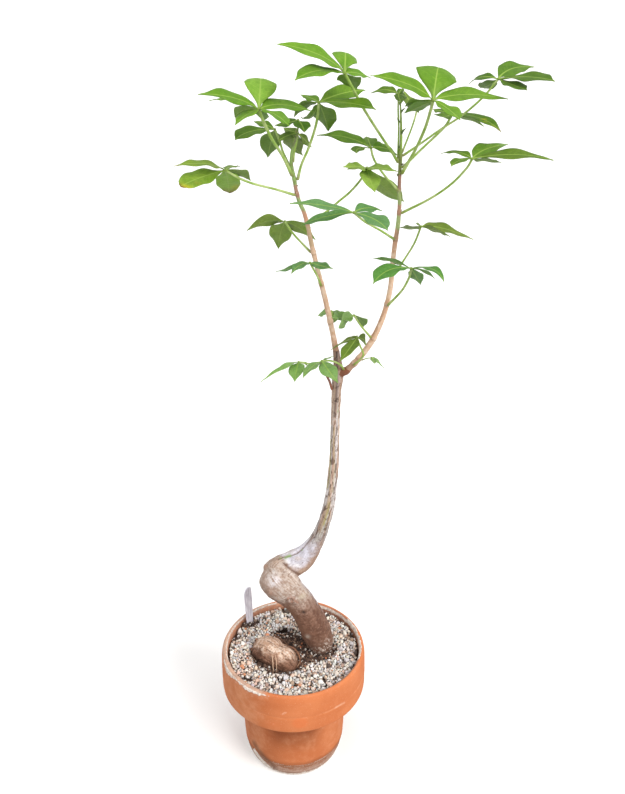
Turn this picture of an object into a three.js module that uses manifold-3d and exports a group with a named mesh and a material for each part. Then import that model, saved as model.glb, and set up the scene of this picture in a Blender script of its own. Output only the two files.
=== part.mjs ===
// A white floss silk tree grown as a potted caudex plant, millimetres, +Z up.
// A swollen, doubled-over trunk rises from a terracotta pot topped with gravel,
// forks into two slender shoots and carries palmate leaves on long petioles.
import * as THREE from 'three';
import Module from 'manifold-3d';

// ---------------------------------------------------------------- driving dimensions
const POT_H = 142.5;            // pot height
const RIM_R = 77.6;           // outer radius of the collar
const RIM_DEPTH = 47.8;       // height of the collar
const WALL = 8.4;             // wall of the pot
const LIP = 6.6;              // width of the collar's top edge
const BODY_R = 56;            // radius of the body under the collar
const BASE_R = 48.2;          // radius where the pot stands
const HOLE_R = 11;            // drainage hole
const FLOOR_T = 9.5;          // thickness of the pot's floor
const GAP = 0.35;             // clearance between neighbouring pieces
const GRAVEL_Z = 136.2;       // mean level of the gravel
const GRAVEL_T = 4.2;         // thickness of the gravel layer
const BLADE_T = 1.0;          // thickness of a leaflet along its rib
const FOLD = 9;               // degrees each half of a leaflet is folded up
const TAG = { w: 12.4, t: 1.2, h: 48, below: 20, x: -50.0, y: 42.4, turn: 56, lean: [-0.03, 0] };

// ---------------------------------------------------------------- measured lines
// x, y, z, radius along each axis
const LOWER_ARM = [
  [30.0,4.0,60.0,5.00], [30.5,4.0,85.0,7.50], [30.5,4.0,105.0,9.00], [29.5,3.5,118.0,10.20], [30.6,5.0,128.8,10.41],
  [28.4,4.0,143.7,14.67], [24.4,2.0,160.1,15.76], [18.5,-1.0,178.3,15.51], [12.7,-3.0,193.3,14.73], [6.3,-4.0,205.3,14.89],
  [-2.5,-5.0,217.2,16.08], [-11.5,-5.0,226.1,17.55], [-18.6,-4.0,233.7,16.48], [-21.9,-2.0,239.1,12.35], [-24.6,-0.3,243.6,5.50]];
const UPPER_ARM = [
  [-20.8,-5.7,233.4,5.00], [-18.9,-4.0,235.0,12.35], [-15.6,-1.0,237.7,15.21], [-10.3,4.0,239.4,14.40], [-3.2,10.0,239.6,13.81],
  [4.0,14.0,241.0,13.60], [11.8,17.0,244.8,12.36], [18.6,18.5,253.0,10.24], [23.9,19.0,262.1,8.43], [27.4,18.5,269.9,7.46],
  [30.0,18.0,277.7,6.91], [33.0,17.0,289.4,6.45], [37.2,16.0,308.2,6.08], [39.5,15.5,328.6,5.31], [41.1,15.0,347.4,5.15],
  [42.1,15.0,366.6,4.81], [42.3,15.0,384.4,4.66], [42.5,15.0,402.9,4.62], [43.0,15.0,421.0,4.57], [43.3,15.0,437.8,4.81],
  [44.5,15.0,452.2,5.38], [44.4,15.0,462.3,4.47], [43.2,15.0,471.3,3.43], [42.2,15.0,477.8,2.95]];
const LEFT_SHOOT = [
  [42.1,15.0,478.1,2.86], [39.9,15.0,490.1,2.56], [36.3,14.5,507.7,2.45], [32.1,14.0,526.8,2.33], [28.6,13.5,540.8,2.26],
  [25.1,13.0,554.6,2.15], [21.5,12.5,570.0,2.09], [18.9,12.0,581.6,1.99], [17.0,11.0,592.2,1.89], [13.4,10.5,605.1,1.78],
  [9.4,10.0,614.5,1.69], [6.8,9.5,624.6,1.64], [5.5,9.0,632.9,1.58], [4.0,9.0,639.4,1.49], [3.1,8.0,647.6,1.32],
  [4.2,7.0,656.5,1.15], [7.0,6.0,664.5,0.89], [9.1,5.0,670.0,0.65]];
const RIGHT_SHOOT = [
  [53.7,11.8,460.3,2.88], [59.1,11.5,465.8,2.87], [67.1,12.0,475.5,2.85], [75.5,13.0,488.9,2.74], [82.8,14.0,505.9,2.49],
  [87.6,15.0,522.7,2.34], [90.1,15.5,538.4,2.27], [91.1,16.0,558.3,2.20], [92.4,16.5,576.0,2.05], [94.2,17.0,590.8,1.90],
  [95.0,17.5,610.5,1.71], [94.2,18.0,623.0,1.61], [94.1,18.5,637.8,1.47], [94.1,19.0,647.5,1.38], [94.0,19.5,663.5,1.16],
  [93.2,20.0,679.2,0.90], [92.3,20.0,690.1,0.65]];
const TWIG = [
  [38.7,10.9,440.2,1.22], [36.5,8.0,449.1,1.12], [33.1,5.0,457.5,1.01], [30.3,3.0,465.4,0.92], [28.9,2.0,470.2,0.82]];
// the swollen root that shows beside the trunk, and the finer roots on it
const KNOB = [[-34.2, 2, 120, 6], [-33, 0.8, 129, 11.2], [-29.6, -3, 137.2, 13.2], [-24, -7.8, 140.4, 13.6], [-17.2, -12.4, 139, 13.2],
  [-10.4, -15.6, 135.8, 12.7], [-5, -17.6, 130, 10.8], [-2.5, -18.2, 120, 6]];
const KNOB_LINK = [[-20, -10, 128, 9], [-14, -8, 112, 8], [2, -3, 98, 7], [20, 2, 92, 7], [30, 4, 92, 7]];
const ROOTLETS = [
  [[-12, -3.5, 139.5, 1.2], [-6.5, -5, 143, 1.3], [0.5, -8.8, 143.2, 1.3], [5.6, -14.5, 139.6, 1.3], [6.4, -20, 134, 1.2], [2.6, -24, 127, 1.1]],
  [[-22.5, -14.5, 149.2, 1.3], [-21.6, -20.5, 147.4, 1.5], [-21, -25.4, 140.6, 1.5], [-20.6, -27, 133, 1.4], [-20.4, -26.6, 126, 1.2]],
  [[-19.4, -17, 149, 1.0], [-18, -22.6, 146.4, 1.2], [-17.2, -26.4, 140, 1.2], [-17, -27.6, 132.5, 1.1], [-17.2, -27, 126, 1.0]]];
// the collar at which the right shoot leaves the old wood
const COLLAR = [[44.8, 15.0, 454.0], [51.6, 11.9, 458.2], [53.5, 11.8, 460.1]];
// leaf: name, petiole radius, petiole from hub to shoot, leaflets
// leaflet: tip, arch point, width, roll about the rib in degrees, outline
const LEAVES = [
  ['leaf_l01', 0.97, [[-47.6,-26,645.5],[-37,-17.9,637.7],[-26.4,-10.8,632.3],[-10.8,-0.9,626.5],[5.7,8.3,619.9]], [
    [[-81.4,-64.5,654.8],[-61.9,-45.2,657.1],13.0,4,'std'],
    [[-78.4,-59.7,639.2],[-69.1,-42.8,642.7],17.0,16,'blunt'],
    [[-49.2,10.6,621.1],[-47.5,-7.7,635],20.0,-2,'blunt'],
    [[-30.2,2.8,632.7],[-36.7,-11.6,642.3],14.0,30,'std'],
    [[-39.2,6.9,643.3],[-45.5,-9.6,646.8],10.0,6,'std']]],
  ['leaf_l02', 1.25, [[-19.6,-36,691.8],[-16.7,-27.7,682],[-11.1,-15.7,667.6],[-3,-2.9,652.4],[3.5,6.1,636.9]], [
    [[-58.7,-79.4,705.7],[-45.8,-57.7,705.7],17.0,18,'std'],
    [[-60,-6.8,695.4],[-41.7,-21.4,701.3],13.0,-8,'std'],
    [[-21.6,14.4,699.7],[-17,-18,727.3],24.0,8,'crest'],
    [[21.8,-1.8,686.4],[-1.7,-18.9,697.5],16.0,-12,'std'],
    [[-34.4,-72.5,684.7],[-28.8,-54.2,690.2],14.0,-12,'std'],
    [[-40.2,-10.3,683.5],[-35.6,-23.1,692],13.0,-34,'std'],
    [[4.1,-72.1,683.7],[-4.9,-54.1,691.4],14.0,14,'ob'],
    [[-17.5,-4,680.6],[-19.6,-20,685.1],13.0,-12,'std']]],
  ['leaf_l03', 0.91, [[-10.3,18,671.2],[-6.4,15.8,662.4],[-4,14,654.7],[1.9,10.6,642.3]], [
    [[-40.6,-13.5,666.6],[-35.1,2.3,673.1],15.0,6,'ob'],
    [[-28.6,36,675.4],[-22,27,676.1],9.0,4,'std'],
    [[-18.2,48.9,643.9],[-15.6,33.4,657.6],18.0,-10,'std']]],
  ['leaf_l04', 0.83, [[8.7,16,668.3],[7.4,13.7,661.1],[5.8,11.7,655],[4.8,10.2,646.9]], [
    [[19.8,32.6,655],[15.5,24.3,661.2],8.0,-62,'std'],
    [[12.4,49,646],[-0.8,32.5,656.5],17.0,2,'std'],
    [[-7,-4.4,664.6],[-2.2,5.8,667.8],9.0,12,'std'],
    [[-3.7,31.5,670.9],[1.8,23.7,669.1],9.0,14,'std']]],
  ['leaf_l05', 0.65, [[9.2,4,679.8],[9.3,4.5,675.5],[7.5,5.3,670.7]], [
    [[-10.3,20.2,674.1],[-1.1,12.1,676.2],9.0,24,'std'],
    [[14.4,-20.7,673.5],[13.4,-8.3,676.8],14.0,8,'std']]],
  ['leaf_l06', 1.08, [[25.6,2,693.5],[25.2,2.8,686.3],[22.9,4.2,674],[17.2,6.2,657.4],[11.5,7.7,644.4],[8.5,8.7,633.1]], [
    [[10.8,23,697.5],[20.1,12.5,696.1],10.0,2,'std'],
    [[5.3,28.2,679.6],[12.2,15.1,692.4],12.0,-26,'std'],
    [[11.1,24.5,680],[18.7,13.2,675.2],9.0,-16,'std'],
    [[34,36.4,667.5],[32.1,19.2,680],20.0,2,'std'],
    [[68,-40.5,692.2],[51.7,-19.2,696.2],17.0,-6,'ob'],
    [[65.1,38.3,699.9],[48.2,20.1,701.5],17.0,-18,'std']]],
  ['leaf_l07', 0.96, [[-3.5,30,592.7],[3.1,24.3,584.3],[11,18.5,576.8],[18.9,14.4,569.7]], [
    [[-39,52.4,579.4],[-20,41.2,594.8],14.0,-64,'std'],
    [[-10.8,57.2,561.5],[-10,43.6,577.7],20.0,-30,'std'],
    [[23.4,53.7,570.8],[9.8,41.8,586],15.0,54,'std']]],
  ['leaf_l08', 0.89, [[18.5,-12,567.4],[21.9,-3.3,558.7],[25,4.6,550.5],[28.2,10,540.9]], [
    [[-11.5,13.2,552.3],[1.9,0.6,558.8],9.0,2,'std'],
    [[3.5,-40.2,566.1],[8.6,-26.1,570.9],11.0,-6,'std'],
    [[37.4,-32.6,568.1],[28.8,-22.3,567],10.0,-4,'std']]],
  ['leaf_l09', 0.98, [[65.7,8,642],[61.8,8.4,633.8],[52.5,9.1,622.6],[43.2,9.6,614.6],[32.1,10.3,605.2],[18.3,10.8,597]], [
    [[44.9,-18.4,647],[56.5,-5.2,645.5],12.0,12,'std'],
    [[50.3,33.2,636.7],[57.6,20.6,640.7],10.0,-30,'std'],
    [[70.3,-27.3,628.6],[66.9,-9.7,634.9],17.0,12,'std'],
    [[101.9,44.5,607.2],[83.5,26.2,619.6],17.0,50,'ob'],
    [[87.9,-22.8,644.2],[71.8,-7.4,645.8],13.0,-2,'std']]],
  ['leaf_l10', 0.82, [[38,21,513.1],[37.8,18.3,510.2],[38.3,17.9,506.5]], [
    [[25.8,34.1,504.2],[29.2,27.6,510],9.0,24,'std'],
    [[47.7,36.6,505.3],[41.5,28.8,509.5],8.0,38,'std'],
    [[40.6,28.6,499.3],[40.8,24.8,505.6],9.0,16,'std']]],
  ['leaf_r01', 1.13, [[44.9,-24,716.3],[51.2,-17.2,705.6],[60.5,-7.7,690.1],[76.7,6.3,666.8],[87.4,14.8,652.2],[91.8,17.4,645.6]], [
    [[-6,-56.8,737.1],[13.5,-40.4,737],18.0,18,'std'],
    [[8.1,-60.7,713.6],[20.9,-42.3,722.5],16.0,8,'ob'],
    [[46.1,18,720.4],[46.2,-9,741.1],20.0,2,'crest'],
    [[66.6,4.2,711.1],[55.1,-9.9,717.1],10.0,-24,'std'],
    [[56.1,9.8,703],[48.9,-7.1,708.4],18.0,12,'std']]],
  ['leaf_r02', 1.26, [[112.2,-26,697.4],[111.7,-21.3,691.2],[109.5,-9.8,675.6],[104.1,4.2,656.5],[95.8,16,636.7]], [
    [[61.6,-63.7,716.8],[83.6,-44.8,714.3],18.0,24,'std'],
    [[124.5,34.5,704.4],[118.1,-4.4,736.7],32.0,6,'crest'],
    [[173.4,-7.3,696.5],[140.5,-16.7,704.2],18.0,-6,'std'],
    [[127.2,-63.8,686.9],[123.4,-44.9,692.4],14.0,8,'ob'],
    [[94.5,9.9,684.5],[102.4,-8.1,690.4],13.0,-26,'std'],
    [[94.4,4.5,690.3],[98.8,-10.7,693.8],12.0,-30,'std']]],
  ['leaf_r03', 0.75, [[91,26,697.7],[91,24.4,686.6],[91.9,22.2,671.1],[92.3,21,647.9]], [
    [[69.5,46.9,696.9],[79.6,36.4,703.4],9.0,18,'std'],
    [[95.6,36.4,701.6],[93.2,31.2,700.8],6.0,2,'std'],
    [[99.8,41.3,694.2],[95.4,33.7,696.6],8.0,-48,'std'],
    [[91.8,6.7,692.4],[89.8,16.4,695.4],9.0,14,'std']]],
  ['leaf_r04', 0.75, [[108.4,40,684],[105.7,34.7,675.7],[100.6,26.9,663.8],[95.6,20.9,652.7]], [
    [[99.7,70.1,697.2],[102.2,55,690.1],11.0,-6,'std'],
    [[114.1,17.4,689.6],[112.3,28.7,689.2],10.0,-52,'std'],
    [[104.3,59.4,686.6],[104.6,49.7,684.7],9.0,-8,'std']]],
  ['leaf_r05', 1.01, [[136,27,681.7],[131.5,25.7,673.9],[124.7,24.3,666.9],[111.8,21.7,655.2],[96.7,19,641]], [
    [[117.8,3.3,684.5],[126.1,15.2,679.8],10.0,6,'std'],
    [[124,56.6,683.2],[127.9,41.8,683.8],10.0,4,'std'],
    [[168.6,-15.1,672.8],[161.8,5.9,683.8],14.0,4,'std'],
    [[167.5,48.8,670.2],[153.5,37.9,678.8],12.0,28,'std']]],
  ['leaf_r06', 0.92, [[167.3,8,710.3],[161.4,9.3,701.9],[154,10.6,693.6],[140.8,12.8,681.9],[125.6,14.9,671.6],[108.5,17.3,659],[96.3,18.8,650.4]], [
    [[150.4,39.2,704.5],[153,23.6,713.9],9.0,20,'std'],
    [[160.1,38,701.8],[162.2,23,703.3],12.0,-26,'blunt'],
    [[203.6,41.7,717.4],[179.9,24.8,720.9],17.0,-12,'std'],
    [[198.6,-40.8,711.7],[189.8,-16.4,715.1],15.0,-10,'ob'],
    [[182.1,-28.7,704.7],[177.2,-10.4,706],13.0,-2,'ob']]],
  ['leaf_r07', 0.99, [[147,-18,653.1],[144.1,-13.9,645.5],[133.9,-4.9,631.1],[119.2,5,617.7],[97.2,16,603.3]], [
    [[126.6,11.7,653],[137.7,-3.2,658.9],10.0,-2,'std'],
    [[126.9,-40.1,650.8],[133.3,-29.1,654.9],11.0,-12,'ob'],
    [[181.2,11.9,660.2],[158.3,-3.1,660.7],15.0,-8,'std'],
    [[212.8,-13,651.2],[187.5,-15.5,659.5],15.0,0,'std'],
    [[176.3,8.4,646.3],[161,-4.8,649.4],10.0,34,'std']]],
  ['leaf_r08', 0.93, [[69.4,22,656],[71.4,21.5,648.8],[74.7,18,642.8],[82.5,11,633.3],[87.8,12.5,628.1],[92.3,16.1,622.6]], [
    [[24.3,36.2,664.3],[45.3,29.1,668.2],15.0,4,'std'],
    [[56.4,-2.8,655.1],[53.8,9.6,658.5],11.0,-6,'ob'],
    [[67.7,55.6,660.7],[68.3,38.8,661.1],14.0,0,'std'],
    [[95.3,41.7,646.2],[83,31.8,657],12.0,-20,'std']]],
  ['leaf_r09', 0.96, [[53,-42,615.9],[63.6,-23.7,604.4],[77.9,-2.8,592.5],[91.2,14.5,581]], [
    [[3.8,-69.9,628.6],[24,-56,627],13.0,2,'std'],
    [[11.3,-23.3,601.4],[24.8,-32.7,611],14.0,4,'std'],
    [[76.8,-20.8,612.8],[64.7,-31.4,620.1],12.0,-8,'std'],
    [[77,-75.9,609.8],[73.5,-58.9,614.4],15.0,-2,'ob']]],
  ['leaf_r10', 0.88, [[110.3,-12,598],[106.9,-2.8,582],[100.3,7.1,565.2],[93.2,13.3,550.7]], [
    [[96.7,24.4,588.7],[103.1,6.2,591.3],10.0,-30,'std'],
    [[156.9,-0.2,584.1],[130.6,-6.1,597.7],14.0,-2,'std'],
    [[130.2,-39.6,596.3],[122.9,-25.8,598],10.0,52,'std'],
    [[109.3,2,598.1],[108.9,-5,597.5],6.0,-28,'std']]],
  ['leaf_r11', 1.03, [[101.3,-34,568.7],[101.3,-23.9,558.3],[97.8,-7,541.7],[88.2,11.5,522.2]], [
    [[71.6,-10.4,570.6],[84.9,-22.2,574.1],9.0,-56,'std'],
    [[68.1,-65.7,565.5],[77.2,-49.8,575.7],16.0,0,'ob'],
    [[122.8,-70.1,568.5],[121.2,-52,577.3],11.0,12,'std'],
    [[123.3,-21.8,556.4],[113.1,-27.9,566.5],8.0,36,'std'],
    [[113.4,-10.2,547.7],[108.1,-22.1,557.7],12.0,24,'std']]],
  ['leaf_r12', 0.87, [[56.9,-8,519.3],[63.9,1.6,506.1],[73.5,11.1,491.7]], [
    [[42.7,-38.9,519.1],[45.1,-23.4,519.7],15.0,-88,'std'],
    [[37.1,-29.9,524.7],[44.4,-18.9,520.1],15.0,4,'std'],
    [[65.8,8.8,501.6],[66.6,0.4,513.2],12.0,14,'std']]],
  ['leaf_r13', 0.83, [[60.1,-8,498.4],[63.7,0,487.1],[66.8,1.5,478.8],[64.1,3.5,473.1],[58.9,7.5,466.2]], [
    [[37.3,6.6,481.2],[53.2,-0.7,495.9],8.0,-4,'std'],
    [[43.9,-41.1,489.1],[53,-24.6,494.7],14.0,-16,'std'],
    [[65.8,-27.1,499.2],[69.1,-17.6,501.5],10.0,88,'std'],
    [[57.4,1.5,496.7],[58,-3.2,498.2],5.0,-6,'std']]],
  ['leaf_r14', 0.46, [[74.6,6,473.5],[70.3,8.9,471.9],[66.4,9.8,469.8]], [
    [[87,14.2,460.1],[79.8,10.1,470.2],6.0,-6,'std'],
    [[76.8,-5.8,472.7],[76.8,0.1,472.6],6.0,16,'std']]],
  ['leaf_t01', 0.84, [[29,-12,478],[37.4,-4,474.7],[45.8,4.3,467.8],[49.4,9.6,460.8]], [
    [[12.2,-36.2,472.1],[17.4,-24.1,476.9],12.0,-22,'std'],
    [[42.5,-44.6,471.1],[35,-28.3,474.8],15.0,0,'std'],
    [[39.8,4.7,476],[34.2,-3.7,476.8],4.0,22,'std']]],
  ['leaf_t02', 0.82, [[8,12,467.1],[12.8,9.7,467],[21.1,5.7,467.7],[28,2.7,469.2]], [
    [[-25.6,-15.3,459.2],[-3.8,-1.7,471.3],9.0,-22,'std'],
    [[4.9,-21.4,461.7],[5.8,-4.7,465.8],15.0,-14,'std'],
    [[16,25.1,457.6],[13.2,18.5,464.7],5.0,30,'std']]]
];

// relative half width of a leaflet along its rib
const OUTLINES = {
  std: [[0, .07], [.05, .10], [.14, .28], [.28, .68], [.42, .94], [.54, 1], [.66, .91], [.78, .64], [.87, .35], [.94, .13], [1, 0]],
  ob: [[0, .07], [.05, .10], [.14, .26], [.28, .58], [.42, .84], [.56, .98], [.70, 1], [.80, .82], [.87, .44], [.925, .13], [1, 0]],
  blunt: [[0, .07], [.05, .10], [.14, .30], [.28, .68], [.42, .92], [.58, 1], [.74, .97], [.86, .78], [.94, .50], [.985, .20], [1, 0]],
  crest: [[0, .07], [.05, .12], [.13, .34], [.24, .72], [.35, .97], [.46, 1], [.58, .90], [.71, .68], [.84, .36], [.93, .14], [1, 0]],
};
const RINGS = {
  std: [0, .15, .32, .54, .72, .88], ob: [0, .18, .42, .68, .81, .91],
  blunt: [0, .15, .36, .60, .82, .95], crest: [0, .14, .30, .48, .66, .86],
};

// ---------------------------------------------------------------- geometry helpers
const V = (a) => new THREE.Vector3(a[0], a[1], a[2]);
const wasm = await Module();
wasm.setup();

// indexed positions -> closed solid for joining and cutting
function solid(pos, tri) {
  return new wasm.Manifold(new wasm.Mesh({ numProp: 3, vertProperties: new Float32Array(pos), triVerts: new Uint32Array(tri) }));
}
function toGeometry(man) {
  const m = man.getMesh();
  const g = new THREE.BufferGeometry();
  const p = new Float32Array(m.triVerts.length * 3);
  for (let i = 0; i < m.triVerts.length; i++) {
    const k = m.triVerts[i] * m.numProp;
    p[3 * i] = m.vertProperties[k]; p[3 * i + 1] = m.vertProperties[k + 1]; p[3 * i + 2] = m.vertProperties[k + 2];
  }
  g.setAttribute('position', new THREE.BufferAttribute(p, 3));
  g.computeVertexNormals();
  return g;
}
// closed tube through points with their own radii
function tube(line, sides, grow = 0, squash = 1) {
  const pos = [], tri = [], n = line.length;
  const c = line.map(V);
  let side = null;
  for (let i = 0; i < n; i++) {
    const t = c[Math.min(i + 1, n - 1)].clone().sub(c[Math.max(i - 1, 0)]).normalize();
    if (!side) {
      side = new THREE.Vector3(1, 0, 0);
      if (Math.abs(t.x) > 0.8) side.set(0, 1, 0);
    }
    side.addScaledVector(t, -side.dot(t)).normalize();
    const up = t.clone().cross(side);
    const r = line[i][3] + grow;
    for (let k = 0; k < sides; k++) {
      const a = (2 * Math.PI * k) / sides;
      const q = c[i].clone().addScaledVector(side, r * Math.cos(a)).addScaledVector(up, r * squash * Math.sin(a));
      pos.push(q.x, q.y, q.z);
    }
  }
  for (let i = 0; i < n - 1; i++) for (let k = 0; k < sides; k++) {
    const a = i * sides + k, b = i * sides + ((k + 1) % sides), d = a + sides, e = b + sides;
    tri.push(a, b, e, a, e, d);
  }
  for (let k = 1; k < sides - 1; k++) {
    tri.push(0, k + 1, k);
    const o = (n - 1) * sides;
    tri.push(o, o + k, o + k + 1);
  }
  return solid(pos, tri);
}
// body of revolution from a closed or axis-to-axis profile of [r, z]
function revolve(profile, seg, bump = null) {
  const pos = [], tri = [], ids = [], n = profile.length;
  const closed = profile[0][0] > 0 && profile[n - 1][0] > 0;
  for (let j = 0; j < n; j++) {
    const [r, z] = profile[j];
    const row = [];
    if (r === 0) { row.push(pos.length / 3); pos.push(0, 0, z); }
    else for (let i = 0; i < seg; i++) {
      const a = (2 * Math.PI * i) / seg;
      const d = bump ? bump(a, r, z, j) : [0, 0];
      row.push(pos.length / 3);
      pos.push((r + d[0]) * Math.cos(a), (r + d[0]) * Math.sin(a), z + d[1]);
    }
    ids.push(row);
  }
  const last = closed ? n : n - 1;
  for (let j = 0; j < last; j++) {
    const A = ids[j], B = ids[(j + 1) % n];
    for (let i = 0; i < seg; i++) {
      const k = (i + 1) % seg;
      if (A.length === 1 && B.length === 1) continue;
      if (A.length === 1) tri.push(A[0], B[k], B[i]);
      else if (B.length === 1) tri.push(A[i], A[k], B[0]);
      else tri.push(A[i], A[k], B[k], A[i], B[k], B[i]);
    }
  }
  return solid(pos, tri);
}
// small faceted ball
function ball(c, r) {
  const pos = [], tri = [], rows = 4, sides = 6;
  pos.push(c.x, c.y, c.z - r);
  for (let j = 1; j < rows; j++) for (let i = 0; i < sides; i++) {
    const b = -Math.PI / 2 + (Math.PI * j) / rows, a = (2 * Math.PI * (i + 0.5 * (j % 2))) / sides;
    pos.push(c.x + r * Math.cos(b) * Math.cos(a), c.y + r * Math.cos(b) * Math.sin(a), c.z + r * Math.sin(b));
  }
  pos.push(c.x, c.y, c.z + r);
  const top = 1 + (rows - 1) * sides;
  for (let i = 0; i < sides; i++) {
    const k = (i + 1) % sides;
    tri.push(0, 1 + k, 1 + i);
    for (let j = 0; j < rows - 2; j++) {
      const a = 1 + j * sides + i, b = 1 + j * sides + k;
      tri.push(a, b, b + sides, a, b + sides, a + sides);
    }
    const o = 1 + (rows - 2) * sides;
    tri.push(o + i, o + k, top);
  }
  return solid(pos, tri);
}
const lerpTable = (tab, x) => {
  for (let i = 1; i < tab.length; i++) if (x <= tab[i][0]) {
    const f = (x - tab[i - 1][0]) / (tab[i][0] - tab[i - 1][0]);
    return tab[i - 1][1] + f * (tab[i][1] - tab[i - 1][1]);
  }
  return tab[tab.length - 1][1];
};
// a leaflet: thin blade folded along its rib, arching from the hub to its tip
const SKYWARD = new THREE.Vector3(0, -0.35, 1).normalize();
function leaflet(hub, [tipA, ctrlA, width, roll, kind]) {
  const p0 = hub, p1 = V(ctrlA), p2 = V(tipA);
  const d = p2.clone().sub(p0).normalize();
  const w0 = d.clone().cross(SKYWARD);
  if (w0.length() < 0.15) w0.copy(d).cross(new THREE.Vector3(0, -1, 0.3));
  w0.normalize();
  const n0 = w0.clone().cross(d);
  const r = (roll * Math.PI) / 180, f = (FOLD * Math.PI) / 180;
  const wide = w0.multiplyScalar(Math.cos(r)).addScaledVector(n0, Math.sin(r));
  const pos = [], tri = [], S = RINGS[kind];
  for (const s of S) {
    const c = p0.clone().multiplyScalar((1 - s) * (1 - s)).addScaledVector(p1, 2 * s * (1 - s)).addScaledVector(p2, s * s);
    const t = p1.clone().sub(p0).multiplyScalar(2 * (1 - s)).addScaledVector(p2.clone().sub(p1), 2 * s).normalize();
    const w = wide.clone().addScaledVector(t, -wide.dot(t)).normalize();
    const n = w.clone().cross(t);
    const a = Math.max(0.55, (lerpTable(OUTLINES[kind], s) * width) / 2), h = BLADE_T * (0.5 - 0.16 * s);
    const rise = a * Math.sin(f), run = a * Math.cos(f);
    for (const q of [c.clone().addScaledVector(w, run).addScaledVector(n, rise), c.clone().addScaledVector(n, h),
      c.clone().addScaledVector(w, -run).addScaledVector(n, rise), c.clone().addScaledVector(n, -h)]) pos.push(q.x, q.y, q.z);
  }
  pos.push(p2.x, p2.y, p2.z);
  const tip = S.length * 4;
  for (let i = 0; i < S.length - 1; i++) for (let k = 0; k < 4; k++) {
    const a = i * 4 + k, b = i * 4 + ((k + 1) % 4);
    tri.push(a, b + 4, b, a, a + 4, b + 4);
  }
  tri.push(0, 1, 2, 0, 2, 3);
  const o = (S.length - 1) * 4;
  for (let k = 0; k < 4; k++) tri.push(o + k, tip, o + ((k + 1) % 4));
  return solid(pos, tri);
}
function join(list) {
  let m = list[0];
  for (let i = 1; i < list.length; i++) m = m.add(list[i]);
  return m;
}
// keep the one body that matters if a join leaves crumbs
function biggest(man) {
  const parts = man.decompose();
  let best = parts[0];
  for (const p of parts) if (Math.abs(p.volume()) > Math.abs(best.volume())) best = p;
  return best;
}

// ---------------------------------------------------------------- pot
const rimZ = POT_H - RIM_DEPTH;
const inR = RIM_R - LIP, bodyIn = BODY_R - WALL;
const potProfile = [
  [HOLE_R, 0], [BASE_R - 1.4, 0], [BASE_R, 1.2], [BASE_R + 2.7, 6.5], [BASE_R + 4.9, 13], [BASE_R + 6.9, 23], [BODY_R - 0.2, 36], [BODY_R + 0.2, 60],
  [BODY_R + 0.2, rimZ - 3], [BODY_R + 1.6, rimZ - 0.4], [BODY_R + 4, rimZ], [RIM_R - 3, rimZ], [RIM_R - 0.7, rimZ + 1], [RIM_R - 0.1, rimZ + 3.4],
  [RIM_R, rimZ + 20.2], [RIM_R - 0.5, rimZ + 21], [RIM_R - 0.1, rimZ + 22], [RIM_R - 0.6, POT_H - 7], [RIM_R - 1.7, POT_H - 1.8], [RIM_R - 3.6, POT_H],
  [inR + 2.2, POT_H], [inR + 0.6, POT_H - 1], [inR, POT_H - 3.4], [inR - 0.6, POT_H - 24], [inR - 2.6, POT_H - 34], [inR - 9, POT_H - 41],
  [bodyIn + 3, rimZ - 4], [bodyIn, rimZ - 11], [bodyIn, 50], [bodyIn - 1.6, 26], [bodyIn - 5, 14], [bodyIn - 9, FLOOR_T], [HOLE_R, FLOOR_T]];
const pot = revolve(potProfile, 38);

// ---------------------------------------------------------------- trunk
const trunkParts = (grow) => [tube(LOWER_ARM, 14, grow), tube(UPPER_ARM, 14, grow), tube(KNOB, 12, grow), tube(KNOB_LINK, 8, grow),
  tube([[...COLLAR[0], 4.4], [...COLLAR[1], 3.9], [...COLLAR[2], 3.3]], 9, 0)];
const rootlets = (grow) => ROOTLETS.map((r) => tube(r, 6, grow));
const trunk = biggest(join([...trunkParts(0), ...rootlets(0)]));

// ---------------------------------------------------------------- soil and gravel
const noise = (a, r) => 0.55 * Math.sin(3 * a + 0.11 * r) + 0.4 * Math.sin(7 * a - 0.23 * r + 1.3) + 0.35 * Math.sin(0.31 * r + 2.1 * a);
const g = GAP;
const soilProfile = [[0, FLOOR_T + g], [bodyIn - 9.6, FLOOR_T + g], [bodyIn - 5.5, 14 + g], [bodyIn - 1.6 - g - 0.2, 26.5], [bodyIn - g, 50.5], [bodyIn - g, rimZ - 10.6],
  [bodyIn + 3 - g - 0.2, rimZ - 3.6], [inR - 9 - g, POT_H - 40.4], [inR - 2.6 - g - 0.2, POT_H - 33.4], [inR - 0.6 - g - 0.2, POT_H - 23.4], [inR - 0.9 - g, GRAVEL_Z - GRAVEL_T - g - 1.4],
  [58, GRAVEL_Z - GRAVEL_T - g - 1.2], [46, GRAVEL_Z - GRAVEL_T - g - 1.2], [33, GRAVEL_Z - GRAVEL_T - g - 1.2], [20, GRAVEL_Z - GRAVEL_T - g - 1.2], [9, GRAVEL_Z - GRAVEL_T - g - 1.2], [0, GRAVEL_Z - GRAVEL_T - g - 1.2]];
const soilRaw = revolve(soilProfile, 24, (a, r, z, j) => (j > 10 ? [0, 0.9 * noise(a, r)] : [0, 0]));
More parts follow.
